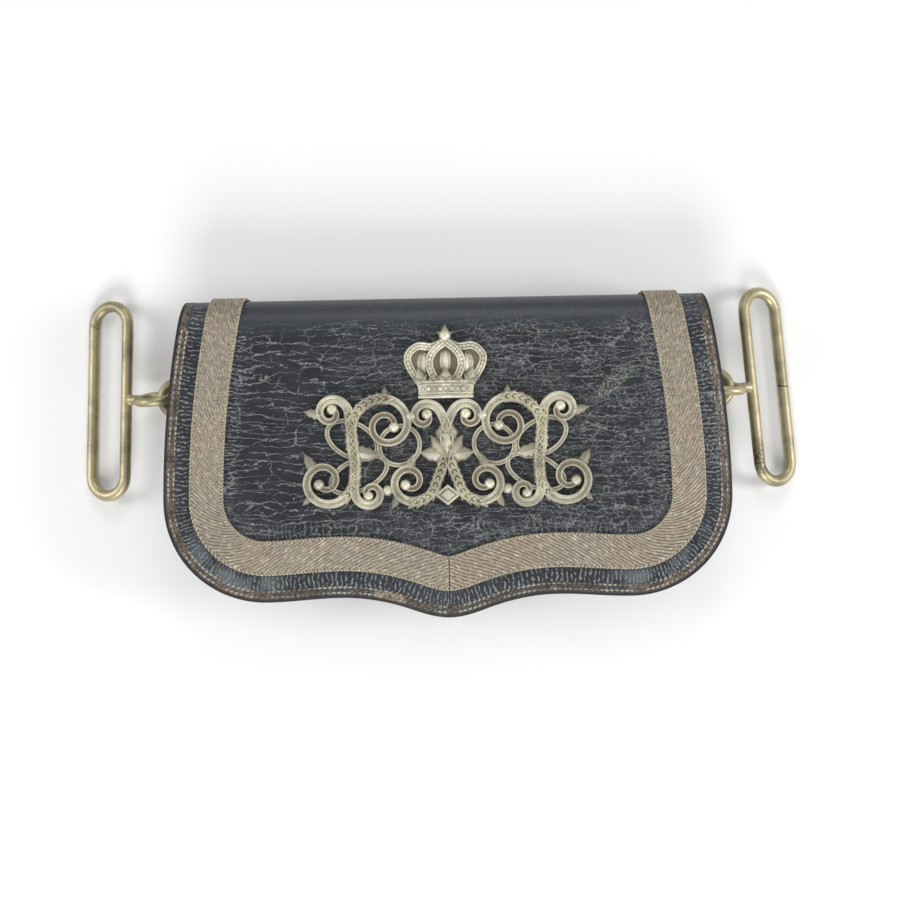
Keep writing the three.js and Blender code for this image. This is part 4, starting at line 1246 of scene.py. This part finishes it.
    def foliage(self, flat):
        """Pairs of blades with a berry, over the middle third of a scroll."""
        run = lengths_along(flat)
        relief = self.relief
        for step in np.arange(run[-1] * 0.33, run[-1] * 0.67, self.leaf_step):
            spot, ahead = (
                np.array([np.interp(step + d, run, values) for values in flat.T]) for d in (0.0, 0.3)
            )
            heading = math.degrees(math.atan2(*(ahead - spot)[::-1]))
            for spread in (-self.leaf_spread, self.leaf_spread):
                blade = leaf(
                    "blade", spot, heading + spread, self.leaf_length, self.seat + relief * 0.7, relief * 0.62, lobes=2,
                )
                self.cast(blade, relief * 0.75, relief * 1.15)
            self.bead(spot, relief * 1.1, 0.5)

    def lozenge(self):
        """A faceted lozenge between the lower curls."""
        x, y = self.place(*LOZENGE_PLACE)
        piece = primitive(
            "cylinder", "lozenge", (x, y, self.seat + self.relief / 2), vertices=4,
            radius=self.height * 0.1 * MM, depth=self.relief * MM, scale=(1, 0.8, 1),
        )
        pick(piece, "faces", lambda face: face.normal.z > 0.9)
        for thickness, depth in self.lozenge_insets:
            bpy.ops.mesh.inset(thickness=thickness * MM, depth=depth * MM)
        bpy.ops.object.mode_set(mode="OBJECT")
        return piece


class POUCH_OT_crown(bpy.types.Operator):
    """Cast the crown with its band, arches, puffed lining and finial"""

    bl_idname = "pouch.crown"
    bl_label = "Crown"

    width = 27.0
    height = 25.0
    seat = DEPTH + 0.05
    # Arches on one side, with how far they stand out
    arches = (
        (((0.31, 0.2), (0.44, 0.42), (0.46, 0.58), (0.34, 0.7), (0.16, 0.69), (0.0, 0.77)), 0.62),
        (((0.12, 0.22), (0.2, 0.45), (0.15, 0.62), (0.0, 0.76)), 0.85),
    )
    arch_steps = 8
    arch_rim = (0.95, 0.34)
    arch_bed = (0.85, 0.95)
    pearl_step = 1.45
    pearl = 0.62
    ground = ((0.34, 0.2), (0.43, 0.42), (0.44, 0.57), (0.32, 0.68), (0.14, 0.68), (0.0, 0.74))
    ground_steps = 6
    # Puffed lining: middle, and half width and height
    linings = ((-0.25, 0.47, 0.13, 0.19), (0.25, 0.47, 0.13, 0.19), (0.0, 0.5, 0.1, 0.2))
    # Fleurons on the band: place, direction in degrees, and size
    fleurons = ((-0.3, 104, 0.2), (-0.15, 96, 0.13), (0.0, 90, 0.2), (0.15, 84, 0.13), (0.3, 76, 0.2))
    # Leaves of the finial: direction in degrees, size, and how far they stand out
    finial = ((90, 0.16, 0.7), (152, 0.13, 0.5), (28, 0.13, 0.5))
    # Rims of the band: height, radius, and how much wider
    rims = ((0.02, 0.6, 0.0), (0.07, 0.28, 0.004), (0.18, 0.28, 0.012), (0.225, 0.45, 0.018))

    def place(self, x, y):
        return np.array([x * self.width, self.low + y * self.height])

    def spline(self, points, steps):
        """Smooth points through the given ones."""
        points = np.array(points)
        whole = np.concatenate([[2 * points[0] - points[1]], points, [2 * points[-1] - points[-2]]])
        places = []
        for k in range(len(points) - 1):
            a, b, c, d = whole[k:k + 4]
            for t in np.arange(steps) / steps:
                places.append(0.5 * (2 * b + (c - a) * t + (2 * a - 5 * b + 4 * c - d) * t**2
                                     + (3 * b - a - 3 * c + d) * t**3))
        places.append(points[-1])
        return np.array(places)

    def execute(self, context):
        self.relief, = measures("crown_relief")
        self.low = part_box("badge_crown")[0][1] / MM
        rod = round_section("rod", 1.0, 12)
        self.beads = []
        pieces = [
            *self.bows(rod), *(self.lining(*facts) for facts in self.linings), self.backing(),
            *self.band(rod), *self.foliage(),
        ]
        pieces.append(beads_at("pearls", self.beads, 10, 7))
        drop(rod)
        for part in pieces:
            low, high = self.seat, places_of(part.data)[:, 2].max() / MM
            if part.name.startswith("ground"):
                low, high = high, high + 1
            if part.name.startswith("lining"):
                low += self.relief * 0.25
            set_crest(part, low, high)
        piece = joined("badge_crown_casting", pieces)
        smooth(piece, 55)
        complete(piece, ROOT, ["badge_crown"], cast_silver(tints()))
        return {"FINISHED"}

    def bows(self, rod):
        """Arches, each a bed with two rims and a row of pearls."""
        pieces = []
        offset, rim = self.arch_rim
        sunk, bed = self.arch_bed
        for side in (-1, 1):
            for points, rise in self.arches:
                flat = np.array([self.place(side * x, y) for x, y in self.spline(points, self.arch_steps)])
                bow = np.sin(math.pi * np.linspace(0.12, 0.9, len(flat)))
                height = self.seat + self.relief * rise * (0.55 + 0.45 * bow)
                for aside in (-offset, offset):
                    pieces.append(swept("arch_rim", np.column_stack([inset_by(flat, aside), height]), rod, radii=rim))
                middle = np.column_stack([flat, height])
                run = lengths_along(middle)
                for s in np.arange(0.7, run[-1] - 0.4, self.pearl_step):
                    self.beads.append([*(np.interp(s, run, values) for values in middle.T), self.pearl])
                pieces.append(swept("arch_bed", middle - [0, 0, sunk], rod, radii=bed))
        return pieces

    def lining(self, x, y, wide, tall):
        """A puffed and folded panel between the arches."""
        centre = self.place(x, y)

        def shape(run, side, up):
            ring = np.sqrt(np.clip(1 - (2 * run - 1)**2, 0, 1))
            folds = 1 + 0.16 * np.cos(side * 9)
            return np.column_stack([
                centre[0] + side * ring * wide * self.width,
                centre[1] + (2 * run - 1) * tall * self.height,
                self.seat + self.relief * 0.56 * np.clip(up, 0, 1) * ring * folds,
            ])

        return shaped_ball("lining", shape, 28, 14)

    def backing(self):
        """The sunk ground behind the arches."""
        outline = np.array([self.place(*point) for point in self.spline(self.ground, self.ground_steps)])
        whole = np.concatenate([outline, (outline * np.array([-1, 1]))[::-1][1:]])
        piece = primitive("circle", "ground", vertices=len(whole), fill_type="NGON", radius=1)
        set_places(piece.data, np.column_stack([whole, np.full(len(whole), self.seat)]))
        pick(piece, "faces", lambda face: True)
        bpy.ops.mesh.extrude_region_move(TRANSFORM_OT_translate={"value": (0, 0, self.relief * 0.3 * MM)})
        return closed_up(piece)

    def band(self, rod):
        """Circlet with moulded rims and a row of stones."""
        lower, upper = self.place(0, 0.0)[1], self.place(0, 0.24)[1]

        def bow(x):
            return self.seat + self.relief * (0.72 - 0.42 * (x / (0.36 * self.width))**2)

        def lay(across, up):
            half = (0.33 + 0.03 * up) * self.width - 0.1
            x = (2 * across - 1) * half
            return np.column_stack([x, lower + up * (upper - lower), bow(x)]), {}

        pieces = [apply_modifier(laid_grid("circlet", 24, 6, lay), "SOLIDIFY", thickness=0.9 * MM, offset=-1.0)]
        for y, radius, widen in self.rims:
            x = np.linspace(-1, 1, 24) * (0.335 + widen) * self.width
            line = np.column_stack([x, np.full(24, self.place(0, y)[1]), bow(x) + 0.15])
            pieces.append(swept("rim", line, rod, radii=radius))
        for k, x in enumerate(np.linspace(-0.285, 0.285, 9) * self.width):
            self.beads.append([x, self.place(0, 0.125)[1], bow(x) + 0.3, 0.95 if k % 2 else 0.6])
        return pieces

    def foliage(self):
        """Fleurons on the band, and the finial with its ball."""
        pieces = []
        relief = self.relief
        for x, heading, share in self.fleurons:
            root = self.place(x, 0.22)
            size = share * self.height
            rise = self.seat + relief * (0.55 - 1.6 * x * x)
            for spread, part in ((-52, 0.68), (52, 0.68), (0, 1.0)):
                pieces.append(leaf("fleuron", root, heading + spread, size * part, rise, relief * 0.4, 0.36, 2))
            self.beads.append([*(root + [0, size * 0.3]), rise + relief * 0.34, 0.55])
        top = self.place(0, 0.84)
        self.beads.append([*top, self.seat + 1.2, 0.085 * self.height])
        for heading, share, rise in self.finial:
            pieces.append(leaf("finial", top, heading, share * self.height, self.seat, relief * rise, 0.34, 2))
        return pieces


def loop_frame(side, yaw, tilt):
    """Place of a loop at rest, about its hinge."""
    joint = next(j for j in frame["joints"] if j["child"] == f"{'left' if side < 0 else 'right'}_loop")
    place = Matrix.Translation(Vector(joint["pos_m"]))
    turn = Matrix.Rotation(side * math.radians(yaw), 4, "Z")
    return place @ turn @ Matrix.Rotation(side * math.radians(tilt), 4, "Y")


class POUCH_OT_loops(bpy.types.Operator):
    """Bend the belt loops from wire, each with its eye soldered on"""

    bl_idname = "pouch.loops"
    bl_label = "Belt loops"

    length = 70.6
    width = 17.8
    eye_hole = 8.8
    neck = 2.4
    lean = 17.0
    play = 2.5
    rest = ((-1, 1.35, 23.98), (1, 4.1, 29.57))

    def path(self, near, wire):
        """Middle line of the link, from its far corner round through the near side."""
        bend = (self.width - wire) / 2
        straight = self.length / 2 - wire / 2 - bend
        fall = np.linspace(straight, -straight, 28)[1:-1]
        path = np.concatenate([
            arc((near + bend, straight), bend, 0, 180, 20),
            np.column_stack([np.full(26, near), fall]),
            arc((near + bend, -straight), bend, 180, 360, 20),
            np.column_stack([np.full(26, near + 2 * bend), -fall]),
        ])
        return np.column_stack([path, np.zeros(len(path))])

    def execute(self, context):
        wire, eye = measures("loop_wire", "eye_wire")
        eye_radius = (self.eye_hole + eye) / 2
        for side, yaw, tilt in self.rest:
            label = "left" if side < 0 else "right"
            shift = -side * self.play
            near = shift + eye_radius + eye / 2 + self.neck + wire / 2
            path = self.path(near, wire)
            steps = np.arange(len(path))
            radii = 1 + 0.012 * np.sin(steps * 0.9) + 0.01 * np.sin(steps * 0.37)
            rod = round_section("rod", wire / 2)
            link = swept("link", path, rod, True, radii)
            drop(rod)
            ring = primitive(
                "torus", "ring", (shift, 0, 0), major_radius=eye_radius * MM, minor_radius=eye / 2 * MM,
                major_segments=48, minor_segments=16, rotation=(math.pi / 2 + math.radians(self.lean), 0, 0),
            )
            start = shift + eye_radius + eye * 0.2
            end = near - wire * 0.2
            neck = primitive(
                "cylinder", "neck", ((start + end) / 2, 0, 0), vertices=20, radius=eye * 0.52 * MM,
                depth=(end - start) * MM, rotation=(0, math.pi / 2, 0),
            )
            piece = remeshed(joined(f"belt_loop_{label}", [link, ring, neck]), 0.34, 4)
            if side < 0:
                piece.scale.x = -1
                closed_up(apply_place(piece))
            piece.matrix_world = loop_frame(side, yaw, tilt)
            apply_place(piece)
            smooth(piece)
            complete(piece, f"{label}_loop", [f"loop_{label}"], worn_nickel(tints()))
        return {"FINISHED"}


class POUCH_OT_staples(bpy.types.Operator):
    """Bend the staples and solder them to their plates"""

    bl_idname = "pouch.staples"
    bl_label = "Staples"

    bow = 11.6
    plate = (1.4, 22.0, 12.0)
    clearance = 0.3
    foot = 0.6
    rivet_inset = 2.6

    def execute(self, context):
        wire, = measures("staple_wire")
        plate_x = HALF_BOX + self.clearance
        thick, tall, _ = self.plate
        for side, label in ((-1, "left"), (1, "right")):
            low, high = (np.array(corner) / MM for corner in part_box(f"staple_{label}"))
            _, y, z = (low + high) / 2
            centre_x = max(abs(low[0]), abs(high[0])) - wire / 2 - self.bow / 2
            seat = np.array([[plate_x + self.foot, -self.bow / 2]])
            flat = np.concatenate([seat, arc((centre_x, 0), self.bow / 2, -90, 90, 28), seat * [1, -1]])
            rod = round_section("rod", wire / 2)
            bow = swept("bow", np.column_stack([side * flat[:, 0], flat[:, 1] + y, np.full(len(flat), z)]), rod)
            drop(rod)
            plate = primitive(
                "cube", "plate", (side * (plate_x + thick / 2), y, z), size=1, scale=Vector(self.plate) * MM,
            )
            rounded(plate, 0.45)
            reach = tall / 2 - self.rivet_inset
            rivets = [
                ball("rivet", 1.5, 16, 8, (side * (plate_x + thick), y + away, z), (0.45, 1, 1))
                for away in (-reach, reach)
            ]
            piece = remeshed(joined(f"staple_{label}_bow", [bow, plate, *rivets]), 0.22, 3)
            smooth(piece)
            complete(piece, ROOT, [f"staple_{label}"], worn_nickel(tints()))
        return {"FINISHED"}


class POUCH_OT_case(bpy.types.Operator):
    """Block the open box under the flap, and its closing tab with a stud"""

    bl_idname = "pouch.case"
    bl_label = "Box and closing tab"

    wall = 2.5
    corner = 9.0
    tab = (18.0, 2.0, 14.0, 16.0, 3.0)
    clearance = 0.3
    stud_radius = 5.0

    def execute(self, context):
        self.box()
        self.closing_tab()
        return {"FINISHED"}

    def box(self):
        """A block with rounded lower corners, hollowed from its mouth."""
        low, high = (np.array(corner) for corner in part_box("box"))
        piece = primitive("cube", "pouch_box", (low + high) / 2 / MM, size=1, scale=high - low)

        def is_lower_corner(edge):
            a, b = (vert.co for vert in edge.verts)
            return abs(a.z - b.z) > MM and a.y < 0

        pick(piece, "edges", is_lower_corner)
        bpy.ops.mesh.bevel(offset=self.corner * MM, segments=8)
        pick(piece, "faces", lambda face: face.normal.y > 0.9)
        bpy.ops.mesh.inset(thickness=self.wall * MM, depth=0)
        deep = -(high[1] - low[1] - self.wall * MM)
        bpy.ops.mesh.extrude_region_move(TRANSFORM_OT_translate={"value": (0, deep, 0)})
        rounded(piece, 1.1, 4)
        smooth(piece, 40)
        complete(piece, ROOT, ["box"], case_leather(tints()))

    def closing_tab(self):
        width, thick, seat, hang, bend = self.tab
        outer = LOW_Y - self.clearance
        bend_y = outer - thick - bend
        under = np.linspace(bend_y - seat, bend_y, 10)
        face_z = DEPTH - sag(np.zeros(10), under) - LEATHER - self.clearance
        bend_z = face_z[-1] - thick - bend
        angles = np.linspace(math.pi / 2, 0, 12)[1:]
        outside = bend + thick
        turn = np.column_stack([bend_y + outside * np.cos(angles), bend_z + outside * np.sin(angles)])
        fall = np.column_stack([np.full(8, outer), np.linspace(bend_z, bend_z - hang, 9)[1:]])
        line = np.concatenate([np.column_stack([under, face_z]), turn, fall])

        def lay(across, up):
            flat = at_shares(line, up)
            narrow = 1 - 0.25 * np.clip((up - 0.9) / 0.1, 0, 1)**2
            return np.column_stack([(across - 0.5) * width * narrow, flat]), {}

        piece = laid_grid("closing_tab_strap", 12, 60, lay)
        apply_modifier(piece, "SOLIDIFY", thickness=thick * MM, offset=-1.0)
        rounded(piece, 0.5)
        smooth(piece, 45)
        complete(piece, ROOT, ["closing_tab"], case_leather(tints()))
        self.stud(outer - thick, bend_z - hang / 2)

    def stud(self, y, z):
        """A low domed stud with a rim, over the tab's end."""
        head = ball("head", self.stud_radius, 28, 14, (0, y - 0.6, z), (1, 0.36, 1))
        rim = primitive(
            "torus", "rim", (0, y - 0.4, z), major_radius=self.stud_radius * 0.94 * MM, minor_radius=0.5 * MM,
            major_segments=36, minor_segments=10, rotation=(math.pi / 2, 0, 0),
        )
        piece = joined("closing_stud", [head, rim])
        smooth(piece)
        complete(piece, ROOT, [], worn_nickel(tints()))


class POUCH_OT_stage(bpy.types.Operator):
    """Lay the pale floor, hang the soft lights and set the camera"""

    bl_idname = "pouch.stage"
    bl_label = "Stage"

    target = (1.0, -11.6, 34.0)
    distance = 600.0
    elevation = 86.0
    roll = 1.1
    view_angle = 28.07
    lamps = (
        ("lamp_low", (-60, -720, 560), 420, 4.5),
        ("lamp_left", (-740, 60, 480), 380, 2.1),
        ("lamp_right", (740, -60, 480), 300, 3.1),
        ("lamp_far", (40, 640, 620), 420, 1.3),
    )

    def execute(self, context):
        floor = primitive("plane", "floor", size=40)
        floor.data.materials.append(pale_floor(tints()))
        for name, place, size, power in self.lamps:
            bpy.ops.object.light_add(type="AREA", location=Vector(place) * MM)
            lamp = named(name)
            lamp.data.shape = "DISK"
            lamp.data.size = size * MM
            lamp.data.energy = power
            lamp.rotation_euler = (-lamp.location).to_track_quat("-Z", "Y").to_euler()
        world = bpy.data.worlds.new("soft_room")
        world.use_nodes = True
        background = world.node_tree.nodes["Background"]
        background.inputs["Color"].default_value = (1.0, 1.0, 1.0, 1.0)
        background.inputs["Strength"].default_value = 0.4
        context.scene.world = world
        context.scene.view_settings.view_transform = "Standard"
        bpy.ops.object.camera_add()
        camera = named("camera")
        rise = math.radians(self.elevation)
        back = Vector((0, -math.cos(rise), math.sin(rise)))
        up = Vector((0, math.sin(rise), math.cos(rise)))
        right = Vector((1, 0, 0))
        turn = math.radians(self.roll)
        cos, sin = math.cos(turn), math.sin(turn)
        axes = [right * cos - up * sin, up * cos + right * sin, back]
        camera.matrix_world = Matrix.Translation((Vector(self.target) + back * self.distance) * MM) @ Matrix(
            [[axis[row] for axis in axes] for row in range(3)]
        ).to_4x4()
        camera.data.sensor_width = 36.0
        camera.data.angle = math.radians(self.view_angle)
        camera.data.clip_start = 0.01
        camera.data.clip_end = 50.0
        context.scene.camera = camera
        deselect()
        return {"FINISHED"}


STEPS = (
    POUCH_OT_stage, POUCH_OT_flap, POUCH_OT_stitching, POUCH_OT_lace, POUCH_OT_scrollwork, POUCH_OT_crown,
    POUCH_OT_loops, POUCH_OT_staples, POUCH_OT_case,
)


class POUCH_PT_panel(bpy.types.Panel):
    """Sizes, colours and steps of the pouch"""

    bl_idname = "POUCH_PT_panel"
    bl_label = "Cross belt pouch"
    bl_space_type = "VIEW_3D"
    bl_region_type = "UI"
    bl_category = "Pouch"

    def draw(self, context):
        for group in (context.scene.pouch_sizes, context.scene.pouch_colours):
            box = self.layout.box()
            for key in group.bl_rna.properties.keys():
                if key not in {"rna_type", "name"}:
                    box.prop(group, key)
        for step in STEPS:
            self.layout.operator(step.bl_idname)


CLASSES = (PouchSizes, PouchColours, *STEPS, POUCH_PT_panel)


def register():
    for item in CLASSES:
        bpy.utils.register_class(item)
    bpy.types.Scene.pouch_sizes = bpy.props.PointerProperty(type=PouchSizes)
    bpy.types.Scene.pouch_colours = bpy.props.PointerProperty(type=PouchColours)


def unregister():
    del bpy.types.Scene.pouch_colours
    del bpy.types.Scene.pouch_sizes
    for item in reversed(CLASSES):
        bpy.utils.unregister_class(item)


def main():
    register()
    for step in STEPS:
        group, call = step.bl_idname.split(".")
        getattr(getattr(bpy.ops, group), call)()


if __name__ == "__main__":
    main()
